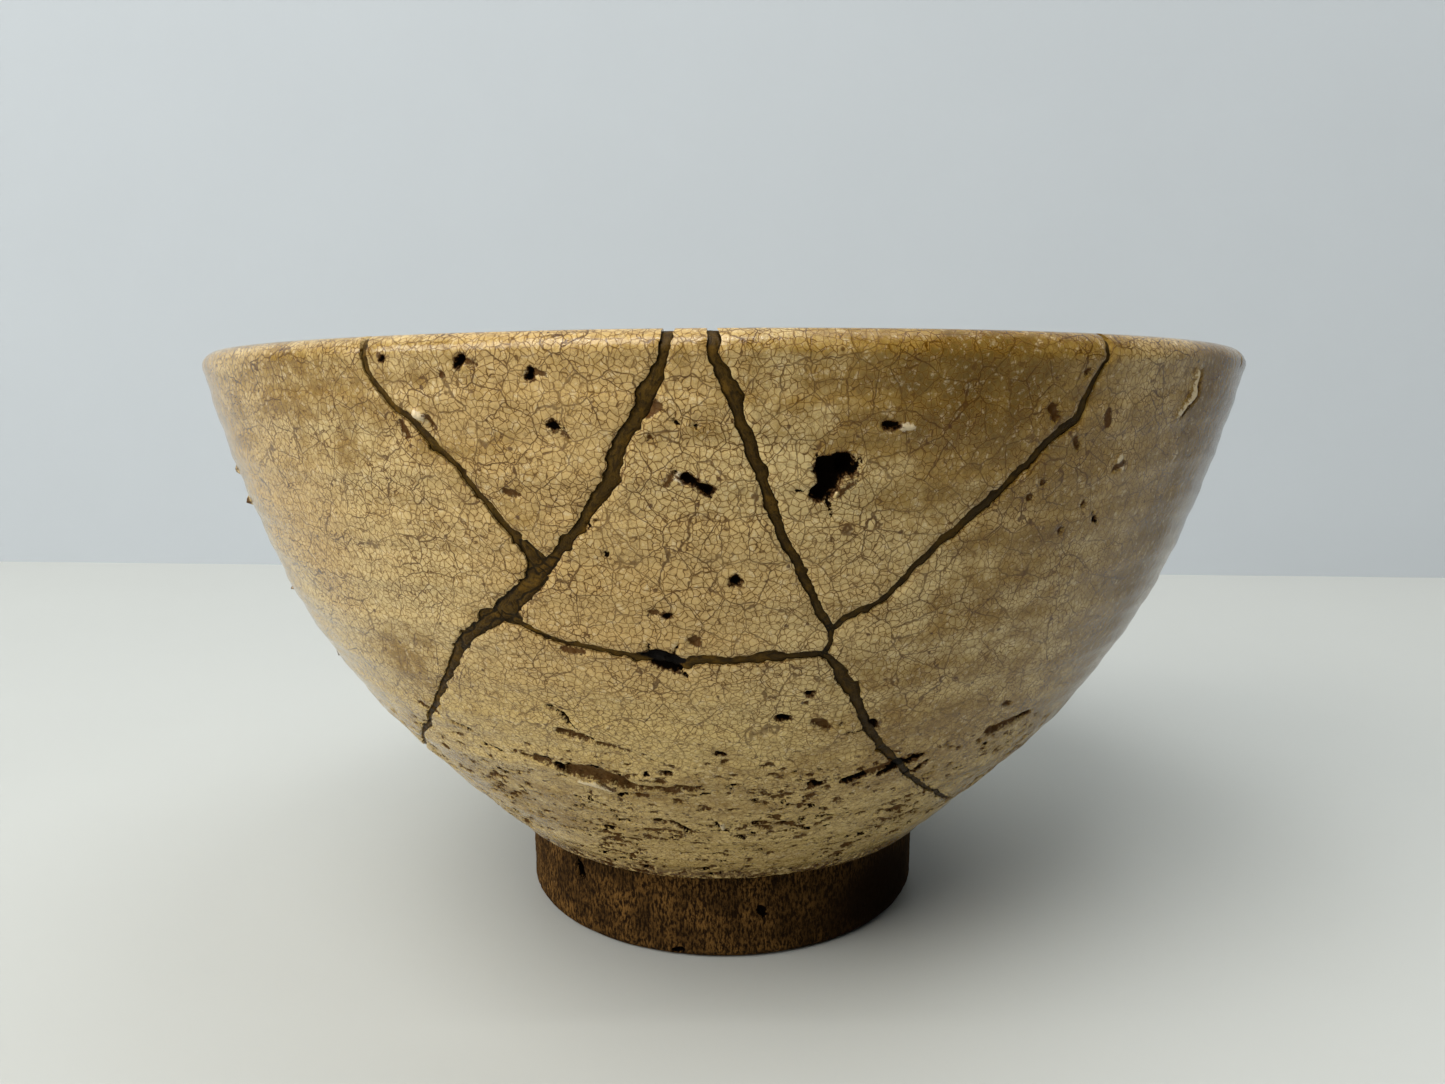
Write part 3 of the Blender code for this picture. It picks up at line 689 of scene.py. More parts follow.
    ("brown", -0.6, 70.5, 35.0, 0.5, 68.5, 34.4, 0.3),
    # The foot
    ("black", 1.0, -42.4, 9.8, 0.6, -41.6, 8.9, 0.8),
    ("black", 0.4, -43.4, 10.9, 0.25, -42.6, 10.2, 0.3),
    ("black", 0.6, -12.4, 0.9, 0.5, -10.8, 1.0, 0.6), ("black", 0.3, 9.8, 7.0, 0.7, 10.6, 6.6, 0.5),
)

# Broad tints of the glaze, mixed with painted shade and painted light: the brown blobs right of the
# front (over the right side, the right of the rim and the right of the foot) are painted shade
# where the bowl turns away from the light, the pale blobs on the front and left are painted light
# on its lit side, the others are the glaze's own tone: (azimuth, height, half width in degrees,
# half height, how brown)
TINTS_SHADE_AND_LIGHT = (
    (18.0, 79.0, 13.0, 9.0, 0.75),
    (27.0, 66.0, 9.0, 10.0, 0.30),
    (56.0, 60.0, 16.0, 26.0, 1.10),
    (47.5, 78.0, 3.8, 5.5, 0.60),
    (17.0, 50.0, 12.0, 14.0, 0.16),
    (-40.0, 78.0, 15.0, 7.0, 0.35),
    (-35.0, 49.0, 5.0, 5.0, 0.45),
    (-42.0, 58.0, 12.0, 9.0, -0.30),
    (-8.0, 46.0, 14.0, 6.0, -0.35),
    (-2.0, 62.0, 12.0, 10.0, -0.32),
    (-20.0, 72.0, 6.0, 6.0, 0.20),
    (0.0, 33.0, 12.0, 4.0, 0.25),
    (-30.0, 27.0, 14.0, 7.0, 0.28),
    (50.0, 5.0, 30.0, 8.0, 0.65),
    (27.0, 38.0, 12.0, 9.0, 0.30),
)


def tint_shade_and_light_at(azimuth, height):
    """How brown the glaze is at points of the outside, with painted shade on the right side and
    painted light on the lit front.
    """
    tint_shade_light = np.full(len(azimuth), USUAL_TINT)
    for at, level, wide, high, amount in TINTS_SHADE_AND_LIGHT:
        tint_shade_light += amount * np.exp(-((azimuth - at) / wide) ** 2 - ((height - level) / high) ** 2)
    return np.clip(tint_shade_light, 0, MOST_TINT)


def as_ink(inside_by):
    """Colour that stands for the distance inside a mark's edge: 0.5 at the edge."""
    return np.clip(0.5 + inside_by / (2 * FIELD), 0, 1)


def draw_marks(azimuth, station, points, push, ink):
    """Press the marks into the sheet and colour them."""
    arcs = OUTER.at(station, "s")
    radius = OUTER.at(station, "r")
    drawn_on = OUTER.u > -0.13
    for number, (kind, depth, *stroke) in enumerate(MARKS):
        nodes = np.reshape(stroke if len(stroke) > 3 else stroke * 2, (-1, 3))
        levels = np.interp(nodes[:, 1], OUTER.z[drawn_on], OUTER.s[drawn_on])
        widest = nodes[:, 2].max()
        reach = widest + 1.3
        turn = math.degrees(reach / np.interp(levels.mean(), OUTER.s, OUTER.r))
        near = np.nonzero(
            (azimuth > nodes[:, 0].min() - turn) & (azimuth < nodes[:, 0].max() + turn)
            & (arcs > levels.min() - reach) & (arcs < levels.max() + reach))[0]
        if not len(near):
            continue
        wobble = (noise_at(points[near], 1.1, number) * 0.6
                  + noise_at(points[near], 0.5, number + 200) * 0.4)
        inside_by = np.full(len(near), -9.0)
        scale = math.pi / 180 * radius[near]
        for i in range(len(nodes) - 1):
            dx = (azimuth[near] - nodes[i, 0]) * scale
            dy = arcs[near] - levels[i]
            ex = (nodes[i + 1, 0] - nodes[i, 0]) * scale
            ey = levels[i + 1] - levels[i]
            t = np.clip((dx * ex + dy * ey) / np.maximum(ex * ex + ey * ey, 1e-9), 0, 1)
            half = nodes[i, 2] + (nodes[i + 1, 2] - nodes[i, 2]) * t
            inside_by = np.maximum(inside_by, half - np.hypot(dx - ex * t, dy - ey * t))
        inside_by += wobble * min(0.45, 0.1 + widest * 0.5)
        push[near] -= depth * ramp(inside_by, -0.18, min(widest, 0.7) * 0.6)
        row = ink[INK[kind]]
        row[near] = np.maximum(row[near], as_ink(inside_by))
        if kind == "black" and widest > 0.28:
            ink[1, near] = np.maximum(ink[1, near], as_ink(inside_by + 0.14))


def dress_outside(azimuth, station, points, seam_distance):
    """How far each point of the outer sheet moves out, and its colours."""
    height = points[:, 2]
    push = np.zeros(len(points))
    ink = np.zeros((4, len(points)))
    wall = ramp(station, -0.02, 0.03)
    # Throwing rings and slow lumps
    drift = noise_at(points, 30, 1)
    push += wall * 0.07 * np.sin(height * math.tau / RING_PITCH + 2.5 * drift)
    push += wall * 0.03 * np.sin(height * math.tau / FINE_RING_PITCH + 4 * drift)
    push += wall * 0.16 * noise_at(points, 14, 2)
    push += 0.05 * noise_at(points, 4, 3)
    # The rough band low on the wall: shallow crawls and pits drawn out round the bowl
    band = ramp(height, 12.5, 15) * ramp(height, 44, 30)
    patchy = 0.5 + 1.1 * noise_at(points, 9, 4, 1.6) + 0.5 * noise_at(points, 4, 41, 1.6)
    rough = np.clip(band * patchy, 0, 1)
    crawl = noise_at(points, 1.7, 5, 2.2) + 0.6 * noise_at(points, 0.8, 6, 1.8)
    crawl -= 0.52 - 0.30 * rough + 0.6 * (1 - ramp(band, 0.1, 0.5))
    push -= 0.30 * ramp(crawl, -0.05, 0.3)
    push += rough * 0.10 * noise_at(points, 2.2, 7, 2.2)
    ink[1] = np.maximum(ink[1], as_ink(crawl * 0.8))
    deep = noise_at(points, 1.2, 8, 2.0) + 0.4 * noise_at(points, 3.5, 9)
    deep -= 0.58 - 0.12 * rough + 0.6 * (1 - ramp(rough, 0.1, 0.4))
    push -= 0.4 * ramp(deep, -0.05, 0.2)
    ink[0] = np.maximum(ink[0], as_ink(deep * 0.8))
    # The glaze ends in a soft roll just above the foot
    edge = GLAZE_ENDS_AT + 0.5 * noise_at(points, 7, 10) + 0.35 * noise_at(points, 2, 11)
    push += 0.22 * np.exp(-((height - edge - 0.9) / 0.9) ** 2) * ramp(station, -0.05, 0)
    clay = ramp(height, edge + 0.2, edge - 0.2)
    ink[3] = as_ink(edge - height)
    grit = 0.07 * noise_at(points, 1.0, 12) + 0.05 * noise_at(points, 0.5, 13)
    grit += 0.12 * noise_at(points, 5, 14)
    push += clay * grit * ramp(height, 0.0, 1.2)
    # Broken edges are worn round
    push -= 0.12 * ramp(seam_distance, 0.45, 0.0) * (1 - clay)
    draw_marks(azimuth, station, points, push, ink)
    lip = ramp(station, 1.9, 1.2)
    return push * np.where(station > 1, lip, 1), ink, rough


def dress_inside(station, points):
    """How far each point of the inner sheet moves in."""
    push = 0.10 * noise_at(points, 14, 21)
    drift = noise_at(points, 30, 22)
    push += 0.06 * np.sin(points[:, 2] * math.tau / INSIDE_RING_PITCH + 2 * drift)
    return push * ramp(station, 1.9, 0.9)


def dress_lacquer(points, seam_distance):
    """How far the lacquer lies below the glaze."""
    return -(LACQUER_SINKS - 0.10 * ramp(seam_distance, 0, 0.5)
             + 0.07 * noise_at(points, 1.1, 31) + 0.04 * noise_at(points, 0.5, 32))


def border_of(triangles):
    """Directed edges that only one of the triangles has."""
    sides = sides_of(triangles)
    keys = keys_of(sides, int(triangles.max()) + 1)
    _, first, counts = np.unique(keys, return_index=True, return_counts=True)
    return sides[first[counts == 1]]


def wound(triangles, flat, sign):
    """Triangles in the same turning sense."""
    a, b, c = (flat[triangles[:, i]] for i in range(3))
    area = ((b - a)[:, 0] * (c - a)[:, 1] - (b - a)[:, 1] * (c - a)[:, 0]) * sign
    turned = triangles.copy()
    turned[area < 0] = triangles[area < 0][:, [0, 2, 1]]
    return turned


def make_piece(name, verts, faces, colours, zone, tint_shade_light):
    """A mesh object from arrays, in metres, with its marks as a colour attribute."""
    used, faces = np.unique(faces, return_inverse=True)
    faces = faces.reshape(-1, 3)
    mesh = bpy.data.meshes.new(name)
    mesh.vertices.add(len(used))
    mesh.vertices.foreach_set("co", (verts[used] * MM).ravel())
    mesh.loops.add(faces.size)
    mesh.loops.foreach_set("vertex_index", faces.ravel())
    mesh.polygons.add(len(faces))
    mesh.polygons.foreach_set("loop_start", np.arange(0, faces.size, 3))
    mesh.polygons.foreach_set("loop_total", np.full(len(faces), 3))
    mesh.update(calc_edges=True)
    mesh.validate()
    marks = mesh.attributes.new("marks", "FLOAT_COLOR", "POINT")
    marks.data.foreach_set("color", colours[:, used].T.astype(np.float32).ravel())
    for attribute, values in (("zone", zone), ("tint_shade_light", tint_shade_light)):
        shade = mesh.attributes.new(attribute, "FLOAT", "POINT")
        shade.data.foreach_set("value", values[used].astype(np.float32))
    mesh.shade_smooth()
    mesh.set_sharp_from_angle(angle=SHARP_ANGLE)
    made = bpy.data.objects.new(name, mesh)
    bpy.context.scene.collection.objects.link(made)
    return made


def build_bowl():
    """All six pieces, by the names of the CAD nodes that they stand for."""
    azimuth, station, edges = with_crest(*break_lines())
    shared = len(azimuth)
    outer = cover(OUTER, azimuth, station, edges, FINE, wanted_outside, 3)
    inner = cover(INNER, azimuth, station, edges, INSIDE_FINE, None, 4)
    outer_names = piece_of(OUTER, *outer, edges)
    inner_names = piece_of(INNER, *inner, edges)

    outer_points, outer_normals = OUTER.place(outer[0], outer[1])
    inner_points, inner_normals = INNER.place(inner[0], inner[1])
    outer_points[-1, :2] = inner_points[-1, :2] = 0
    outer_tree = tree_of(outer_points[:shared][station < CREST - HAIR])
    gaps = np.array([outer_tree.find(p)[2] for p in outer_points.tolist()])
    push, ink, rough = dress_outside(outer[0], outer[1], outer_points, gaps)
    glazed = outer_points + outer_normals * push[:, None]
    lined = inner_points + inner_normals * dress_inside(inner[1], inner_points)[:, None]
    sunk = dress_lacquer(outer_points, gaps) + np.minimum(push, 0) * 0.5
    outer_lacquer = outer_points + outer_normals * sunk[:, None]
    inner_lacquer = inner_points - inner_normals * LACQUER_SINKS_INSIDE

    count = len(outer_points)
    crest = np.nonzero(station >= CREST - HAIR)[0]
    joined = np.arange(len(inner_points)) + count
    joined[crest] = crest
    outer_triangles = wound(outer[2], OUTER.flat(outer[0], outer[1]), 1)
    inner_triangles = wound(inner[2], INNER.flat(inner[0], inner[1]), -1)
    plain = np.ones(len(inner_points))
    colours = np.concatenate((ink, np.zeros((4, len(plain)))), axis=1)
    roughness = np.concatenate((rough, plain * 0))
    from_edge = np.concatenate((np.minimum(gaps, 1), plain * 0.5))
    # The tints carry painted shade on the right side and painted light on the lit front; the inside
    # gets the usual tint
    tint_shade_light = np.concatenate((tint_shade_and_light_at(outer[0], outer_points[:, 2]), plain * USUAL_TINT))
    pieces = {}
    for name in (*SHERDS, "lacquer_seams"):
        upper = outer_triangles[outer_names == name]
        lower = joined[inner_triangles[inner_names == name]]
        border = border_of(upper)
        a, b = border[:, 0], border[:, 1]
        ja, jb = joined[a], joined[b]
        first = np.stack((b, a, ja), 1)
        second = np.stack((b, ja, jb), 1)
        walls = np.concatenate((first[a != ja], second[b != jb]))
        faces = np.concatenate((upper, lower, walls))
        if name == "lacquer_seams":
            verts = np.concatenate((outer_lacquer, inner_lacquer))
            pieces[name] = make_piece("lacquer_fill", verts, faces, colours, from_edge, tint_shade_light)
        else:
            verts = np.concatenate((glazed, lined))
            pieces[name] = make_piece("glazed_" + name, verts, faces, colours, roughness, tint_shade_light)
    return pieces


class Nodes:
    """A short way to write a material's node tree."""

    def __init__(self, name):
        self.material = bpy.data.materials.new(name)
        self.material.use_nodes = True
        self.tree = self.material.node_tree
        self.shader = self.tree.nodes["Principled BSDF"]

    def add(self, kind, inputs=(), **settings):
        node = self.tree.nodes.new(kind)
        for key, value in settings.items():
            setattr(node, key, value)
        for key, value in dict(inputs).items():
            self.feed(node.inputs[key], value)
        return node

    def feed(self, socket, value):
        if isinstance(value, bpy.types.NodeSocket):
            self.tree.links.new(value, socket)
        else:
            socket.default_value = value

    def math(self, operation, a, b=0.0):
        return self.add("ShaderNodeMath", {0: a, 1: b}, operation=operation).outputs[0]

    def times(self, a, b):
        return self.math("MULTIPLY", a, b)

    def plus(self, a, b):
        return self.math("ADD", a, b)

    def minus(self, a, b):
        return self.math("SUBTRACT", a, b)

    def vector(self, operation, a, b):
        return self.add("ShaderNodeVectorMath", {0: a, 1: b}, operation=operation).outputs[0]

    def attribute(self, name, output="Fac"):
        return self.add("ShaderNodeAttribute", attribute_name=name).outputs[output]

    def step(self, value, low, high, to_low=0.0, to_high=1.0):
        """A smooth step of a value, which may run down."""
        node = self.add("ShaderNodeMapRange", {
            "Value": value, "From Min": low, "From Max": high,
            "To Min": to_low, "To Max": to_high}, interpolation_type="SMOOTHSTEP")
        return node.outputs[0]

    def mix(self, factor, a, b):
        """Colour a where the factor is 0, b where it is 1."""
        node = self.add("ShaderNodeMix", data_type="RGBA")
        self.feed(node.inputs["Factor"], factor)
        for socket, value in ((node.inputs[6], a), (node.inputs[7], b)):
            self.feed(socket, value if isinstance(value, bpy.types.NodeSocket) else (*value, 1))
        return node.outputs[2]

    def blend(self, factor, a, b):
        """Value a where the factor is 0, b where it is 1."""
        return self.add("ShaderNodeMix", {0: factor, 2: a, 3: b}, data_type="FLOAT").outputs[0]

    def bumpy(self, height, strength, distance):
        """The material, with a relief."""
        bump = self.add("ShaderNodeBump", {"Height": height})
        bump.inputs["Strength"].default_value = strength
        bump.inputs["Distance"].default_value = distance
        self.feed(self.shader.inputs["Normal"], bump.outputs[0])
        return self.material

    def layers(self, base, *rows):
        """A colour with others laid over it, each row a factor and a colour."""
        for factor, colour in rows:
            base = self.mix(factor, base, colour)
        return base

    def noise(self, place, size, detail=2.0, rough=0.5):
        """Noise with features about this many mm across, as its value."""
        return self.add("ShaderNodeTexNoise", {
            "Vector": place, "Scale": 1000 / size, "Detail": detail, "Roughness": rough,
        }).outputs[0]

    def cells(self, place, size, feature):
        """Cells about this many mm across."""
        return self.add(
            "ShaderNodeTexVoronoi", {"Vector": place, "Scale": 1000 / size}, feature=feature)


# Linear colours
GLAZE_WARM = (0.5, 0.34, 0.128)
GLAZE_PALE = (0.57, 0.43, 0.19)
GLAZE_DEEP = (0.275, 0.17, 0.037)
# The darkest glaze brown: the glaze's own brown spots, and painted shade over the right side
GLAZE_BROWN_AND_SHADE = (0.12, 0.07, 0.013)
GLAZE_LOW = (0.59, 0.425, 0.15)
GLAZE_LIGHT = (0.68, 0.57, 0.36)
TEA_STAIN = (0.330, 0.165, 0.020)
CRACKLE = (0.068, 0.026, 0.001)
STAIN = (0.062, 0.022, 0.003)
STAIN_DARK = (0.022, 0.010, 0.003)
BROWN = (0.07, 0.028, 0.007)
PIT = (0.0028, 0.0017, 0.0011)
PALE = (0.66, 0.55, 0.36)
CLAY = (0.155, 0.078, 0.021)
CLAY_DARK = (0.014, 0.007, 0.0025)
LACQUER = (0.07, 0.038, 0.005)
LACQUER_LIGHT = (0.128, 0.066, 0.008)
LACQUER_DARK = (0.034, 0.018, 0.003)
LACQUER_BLACK = (0.01, 0.006, 0.0012)
TABLE = (0.456, 0.468, 0.442)
BACKDROP = (0.43, 0.465, 0.49)
ROOM = (0.80, 0.86, 0.90, 1)
ROOM_LIGHT = 0.03

# The stage, in metres: the table's far edge, its turn in degrees, and the sizes of both faces
TABLE_EDGE = (0, 0.2865, 0)
TABLE_EDGE_TURN = 3.8
TABLE_DEPTH = 1.6
BACKDROP_HEIGHT = 1.4
STAGE_HALF_WIDTH = 2.0


def glaze_material():
    """Ochre glaze with a brown crackle, specks, stains and pits, and raw clay on the foot."""
    n = Nodes("crackled_glaze")
    place = n.add("ShaderNodeTexCoord").outputs["Object"]
    wander = n.add("ShaderNodeTexNoise", {"Vector": place, "Scale": 700.0, "Detail": 2.0})
    bent = n.vector("SUBTRACT", wander.outputs[1], (0.5, 0.5, 0.5))
    bent = n.vector("ADD", n.vector("MULTIPLY", bent, (0.8 * MM, 0.8 * MM, 0.8 * MM)), place)
    marks = n.add("ShaderNodeAttribute", attribute_name="marks")
    split = n.add("ShaderNodeSeparateColor", {"Color": marks.outputs["Color"]})
    band = n.attribute("zone")
    height = n.add("ShaderNodeSeparateXYZ", {0: place}).outputs[2]
    grain = n.noise(place, 0.38, 3.0, 0.6)
    fray = n.times(n.minus(grain, 0.5), 0.85)
    edge_fray = n.times(n.minus(n.noise(place, 1.1, 4.0, 0.65), 0.5), 1.1)
    clay_field = n.plus(marks.outputs["Alpha"], edge_fray)
    clay_mask = n.step(clay_field, 0.46, 0.54)
    black_field = n.plus(split.outputs[0], fray)
    black = n.step(black_field, 0.47, 0.53)
    brown = n.step(n.plus(split.outputs[1], fray), 0.44, 0.58)
    pale = n.step(n.plus(split.outputs[2], fray), 0.45, 0.62)

    # Crackle: long dark cracks, a net between them, and a faint finest net
    long = n.cells(bent, 3.4, "DISTANCE_TO_EDGE").outputs["Distance"]
    wide = n.cells(bent, 0.70, "DISTANCE_TO_EDGE").outputs["Distance"]
    fine = n.cells(bent, 0.36, "DISTANCE_TO_EDGE").outputs["Distance"]
    some = n.noise(place, 5.5, 2.0)
    much = n.step(height, 0.028, 0.052, 0.50, 1.0)
    much = n.times(much, n.step(some, 0.34, 0.62, 0.72, 1.0))
    long_line = n.step(long, 0.024, 0.008)
    wide_line = n.step(wide, 0.056, 0.020)
    fine_line = n.times(n.step(fine, 0.072, 0.022), n.step(
        n.noise(place, 2.3, 1.0), 0.38, 0.62, 0.15, 0.6))
    lines = n.math("MAXIMUM", n.math("MAXIMUM", long_line, wide_line), fine_line)
    lines = n.times(lines, much)
    lines = n.times(lines, n.step(grain, 0.30, 0.60, 0.78, 1.0))

    # Glaze colour: slow clouds, finer clouds, a curdled grain
    cloud = n.noise(place, 26, 2.0)
    mottle = n.noise(place, 3.4, 4.0, 0.62)
    curdle = n.noise(place, 0.75, 4.0, 0.66)
    # The tint is partly the glaze's own tone and partly painted shade on the right side and painted
    # light on the lit front
    tint_shade_light = n.attribute("tint_shade_light")
    thrown = n.noise(n.vector("MULTIPLY", place, (1, 1, 7)), 15, 3.0)
    tone = n.plus(tint_shade_light, n.times(n.minus(mottle, 0.5), 1.2))
    tone = n.plus(tone, n.times(n.minus(thrown, 0.5), 0.7))

    # Specks, small stains, and the dark bloom above the foot on the outside. The floor inside is
    # as low as that
    speck = n.cells(bent, 2.1, "F1")
    dot = n.step(speck.outputs["Distance"], 0.15, 0.08)
    picked = n.step(n.add("ShaderNodeSeparateColor", {
        "Color": speck.outputs["Color"]}).outputs[0], 0.70, 0.74)
    tiny = n.noise(n.vector("MULTIPLY", bent, (1, 1, 1.8)), 0.50, 2.0, 0.6)
    tiny = n.times(n.step(tiny, 0.60, 0.66), n.math(
        "MAXIMUM", n.step(height, 0.055, 0.043, 0.12, 0.7), n.step(band, 0.0, 0.5)))
    off_axis = n.add("ShaderNodeVectorMath", {0: n.vector("MULTIPLY", place, (1, 1, 0))},
                     operation="LENGTH").outputs["Value"]
    bloom = n.times(n.step(height, 0.0178, 0.0134, 0.0, 0.95), n.step(off_axis, 0.026, 0.029))

    base = n.layers(
        n.mix(n.step(cloud, 0.34, 0.66), GLAZE_WARM, GLAZE_PALE),
        (n.step(tone, 0.30, 0.80), GLAZE_DEEP),
        # Painted shade on the right side, and the glaze's own brown spots, where the tint runs high
        (n.step(tone, 0.75, 1.15, 0.0, 0.8), GLAZE_BROWN_AND_SHADE),
        (n.step(height, 0.052, 0.040, 0, 0.8),
         n.mix(n.step(tone, 0.25, 0.85), GLAZE_LOW, GLAZE_DEEP)),
        (n.step(curdle, 0.50, 0.70, 0.0, 0.38), STAIN),
        (n.step(curdle, 0.46, 0.30, 0.0, 0.46), GLAZE_LIGHT),
        (n.times(n.step(wide, 0.19, 0.02, 0.0, 0.42), much), TEA_STAIN),
        (n.times(lines, 0.96), CRACKLE),
        (n.times(n.times(dot, picked), 0.85), STAIN),
        (n.times(tiny, 0.8), STAIN),
        (n.times(pale, 0.75), PALE),
        (n.times(n.step(clay_field, 0.0, 0.5, 0.0, 0.9), n.step(curdle, 0.35, 0.6)), CLAY),
        (n.times(bloom, n.step(curdle, 0.40, 0.56)), STAIN),
        (n.times(brown, 0.92), n.mix(n.step(curdle, 0.40, 0.62), BROWN, STAIN)),
        (black, n.mix(n.step(black_field, 0.55, 0.61), STAIN_DARK, PIT)))

    # Raw clay, with painted shade darkening its right side where the tint runs high
    clay_grain = n.noise(n.vector("MULTIPLY", place, (1, 1, 0.4)), 0.36, 3.0, 0.7)
    clay = n.layers(
        n.mix(n.step(clay_grain, 0.40, 0.62), CLAY_DARK, CLAY),
        (n.step(n.noise(place, 5, 3.0), 0.4, 0.65, 0, 0.65), CLAY_DARK),
        # Painted shade on the right of the foot
        (n.step(tint_shade_light, 0.40, 0.95), CLAY_DARK), (black, PIT))
    n.feed(n.shader.inputs["Base Color"], n.mix(clay_mask, base, clay))

    dark = n.math("MAXIMUM", black, n.times(brown, 0.7))
    rough = n.step(curdle, 0.3, 0.7, 0.05, 0.13)
    rough = n.plus(rough, n.times(band, 0.22))
    rough = n.plus(rough, n.times(dark, 0.5))
    n.feed(n.shader.inputs["Roughness"], n.blend(clay_mask, rough, 0.85))
    matt = n.math("MAXIMUM", dark, n.times(clay_mask, 0.8))
    # Less gloss where the tints are brownest, over the painted shade on the right
    shine = n.times(n.step(matt, 0, 1, 0.27, 0.0), n.step(tint_shade_light, 0.75, 1.15, 1, 0.4))
    n.feed(n.shader.inputs["Specular IOR Level"], shine)
    n.shader.inputs["IOR"].default_value = 1.5

    # Relief: the crackle is a fine groove, the glaze dimpled, the clay gritty
    relief = n.times(n.noise(place, 0.9, 2.0), 0.065)
    for value, rise in ((grain, 0.030), (n.times(curdle, band), 0.16), (wide_line, -0.014),
                        (tiny, -0.05), (brown, -0.08)):
        relief = n.plus(relief, n.times(value, rise))
    return n.bumpy(n.blend(clay_mask, relief, n.times(clay_grain, 0.45)), 1.0, MM)


def lacquer_material():
    """Dark olive-brown lacquer, streaked along the seams and rubbed to a low gloss, with painted
    shadow along its edges and painted shade darkening it towards the right.
    """
    n = Nodes("seam_lacquer")
    place = n.add("ShaderNodeTexCoord").outputs["Object"]
    split = n.add("ShaderNodeSeparateColor", {"Color": n.attribute("marks", "Color")})
    edge = n.attribute("zone")
    clouds = n.noise(place, 2.2, 3.0, 0.6)
    fine = n.noise(place, 0.45, 3.0, 0.7)
    slow = n.vector("MULTIPLY", place, (0.22, 0.22, 0.22))
    across = n.add("ShaderNodeCombineXYZ", {0: n.times(edge, MM)})
    streak = n.noise(n.vector("ADD", slow, across.outputs[0]), 0.22, 3.0, 0.6)
    rim = n.plus(edge, n.times(n.minus(fine, 0.5), 0.35))
    sideways = n.add("ShaderNodeSeparateXYZ", {0: place}).outputs[0]
    n.feed(n.shader.inputs["Base Color"], n.layers(
        n.mix(n.step(streak, 0.36, 0.62), LACQUER_DARK, LACQUER),
        (n.step(clouds, 0.52, 0.66, 0, 0.75), LACQUER_LIGHT),
        (n.step(fine, 0.52, 0.68, 0, 0.6), LACQUER_BLACK),
        # Painted shadow: black along the lacquer's edges, where the glaze edge shades the sunken
        # fill
        (n.step(rim, 0.20, 0.04, 0, 0.85), LACQUER_BLACK),
        (n.step(split.outputs[0], 0.44, 0.56), PIT),
        # Painted shade: the lacquer darkens towards +X, the side turned away from the light
        (n.step(sideways, -0.012, 0.012, 0, 0.38), LACQUER_BLACK)))
    n.feed(n.shader.inputs["Roughness"], n.step(clouds, 0.3, 0.7, 0.34, 0.6))
    n.shader.inputs["Specular IOR Level"].default_value = 0.07
    return n.bumpy(n.plus(streak, fine), 0.8, 0.12 * MM)


def plain_material(name, colour, roughness):
    """A stage material: nearly plain, with a breath of unevenness."""
    n = Nodes(name)
    place = n.add("ShaderNodeTexCoord").outputs["Object"]
    darker = tuple(c * 0.96 for c in colour)
    n.feed(n.shader.inputs["Base Color"], n.mix(n.noise(place, 60, 3.0), darker, colour))
    n.shader.inputs["Roughness"].default_value = roughness
    return n.material


def make_stage():
    """A pale table that ends at a pale wall."""
    yaw = math.radians(TABLE_EDGE_TURN)
    along = Vector((math.cos(yaw), -math.sin(yaw), 0))
    back = Vector((math.sin(yaw), math.cos(yaw), 0))
    parts = (
        ("table", TABLE, 0.5, [(-TABLE_DEPTH, 0), (0, 0)]),
        ("wall", BACKDROP, 0.9, [(0, 0), (0, BACKDROP_HEIGHT)]),
    )
    for name, colour, roughness, section in parts:
        corners = [Vector(TABLE_EDGE) + along * x + back * y + Vector((0, 0, z))
                   for x in (-STAGE_HALF_WIDTH, STAGE_HALF_WIDTH) for y, z in section]
        mesh = bpy.data.meshes.new(name)
        mesh.from_pydata(corners, [], [(0, 2, 3, 1)])
        mesh.materials.append(plain_material(name, colour, roughness))
        made = bpy.data.objects.new(name, mesh)
        bpy.context.scene.collection.objects.link(made)


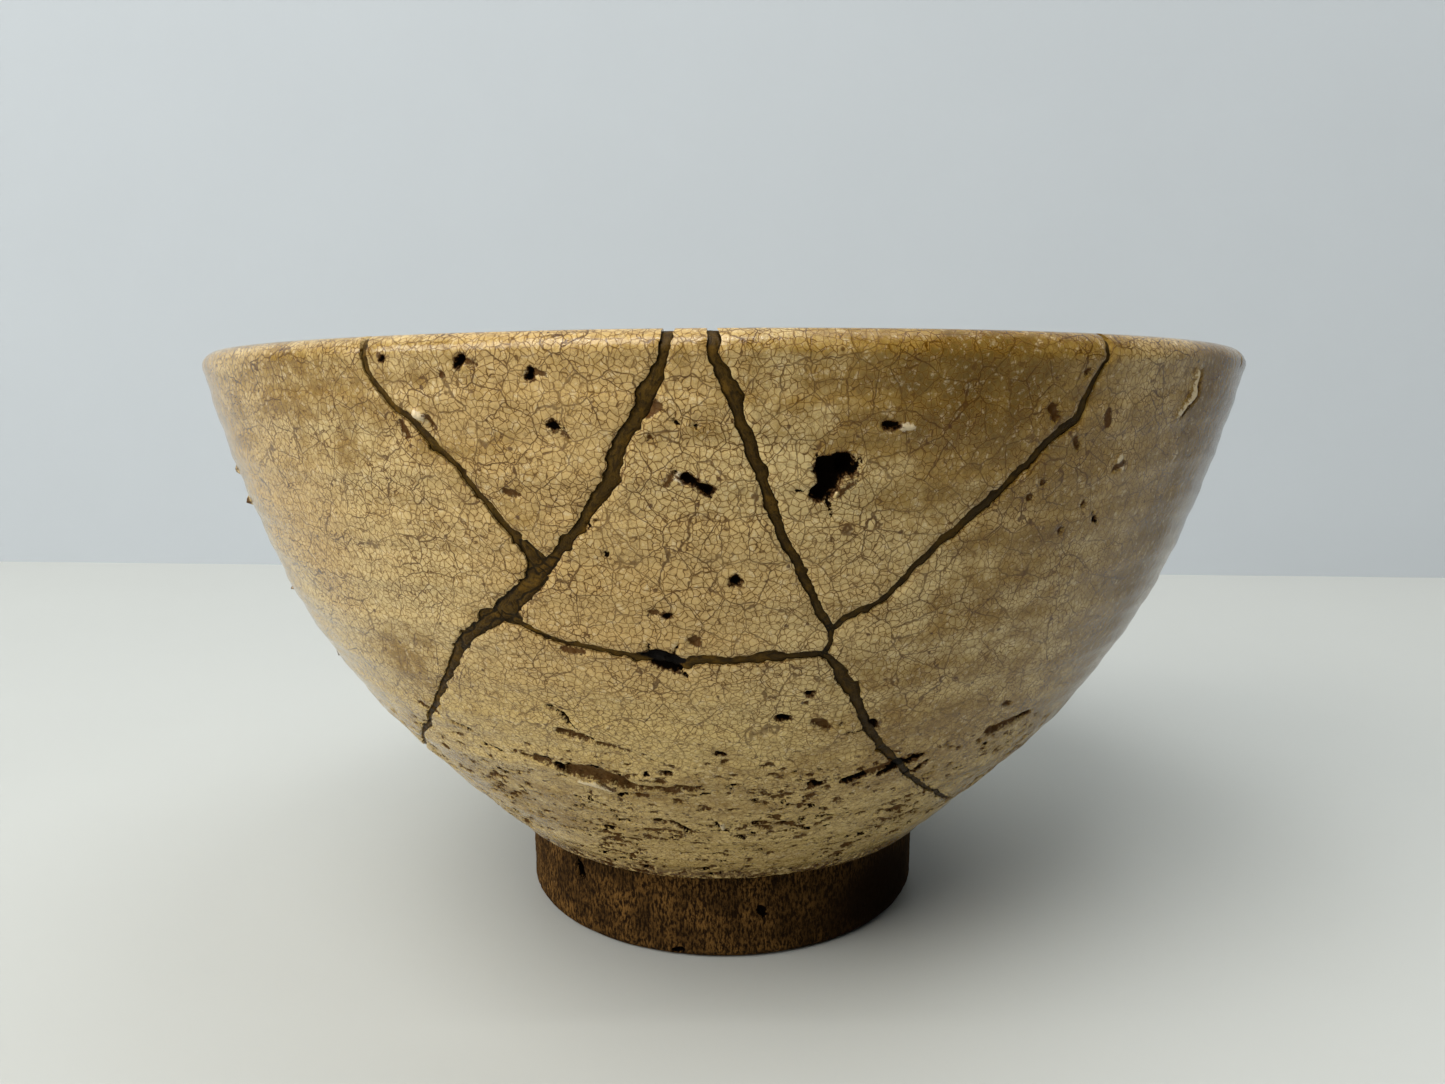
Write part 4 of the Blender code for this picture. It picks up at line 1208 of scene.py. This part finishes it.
def make_light(name, place, target, size, power, colour):
    """A rectangle of light at a place in metres, turned to a target, with its power in watts."""
    light = bpy.data.lights.new(name, "AREA")
    light.shape = "RECTANGLE"
    light.size, light.size_y = size
    light.energy = power
    light.color = colour
    made = bpy.data.objects.new(name, light)
    made.location = place
    aim = Vector(target) - Vector(place)
    made.rotation_euler = aim.to_track_quat("-Z", "Y").to_euler()
    bpy.context.scene.collection.objects.link(made)


def make_lights():
    """A large soft window on the left, wide lights above, two thin strips and a pale room."""
    world = bpy.data.worlds.new("room")
    world.use_nodes = True
    world.node_tree.nodes["Background"].inputs[0].default_value = ROOM
    world.node_tree.nodes["Background"].inputs[1].default_value = ROOM_LIGHT
    bpy.context.scene.world = world
    make_light("window", (-2.5, -1.5, 1.5), (0, 0, 0.05), (2.2, 2.0), 92.0, (1, 0.97, 0.92))
    make_light("above", (-0.45, -0.75, 1.5), (0.05, 0, 0), (1.1, 1.1), 26.0, (0.98, 0.99, 1))
    make_light("ceiling", (0.5, 0.0, 1.6), (0.15, 0, 0), (0.8, 0.8), 6.0, (0.97, 0.99, 1))
    make_light("strip", (0.0, -0.50, 1.25), (0, 0, 0.08), (1.6, 0.016), 3.0, (1, 0.98, 0.95))
    make_light("back_strip", (0.0, 0.25, 1.25), (0, 0, 0.08), (1.6, 0.03), 0.5, (1, 0.98, 0.95))


def make_camera():
    data = bpy.data.cameras.new("camera")
    data.lens = LENS
    data.sensor_width = SENSOR_WIDTH
    data.clip_start = 0.005
    made = bpy.data.objects.new("camera", data)
    made.location = CAMERA_PLACE
    made.rotation_euler = (math.radians(90 - CAMERA_PITCH), 0, 0)
    bpy.context.scene.collection.objects.link(made)
    bpy.context.scene.camera = made


def main():
    make_camera()
    bpy.context.scene.view_settings.view_transform = "Standard"
    make_stage()
    make_lights()
    glaze, lacquer = glaze_material(), lacquer_material()
    for node, piece in build_bowl().items():
        seam = node == "lacquer_seams"
        piece.data.materials.append(lacquer if seam else glaze)
        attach(piece, "root")
        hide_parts(node)


main()
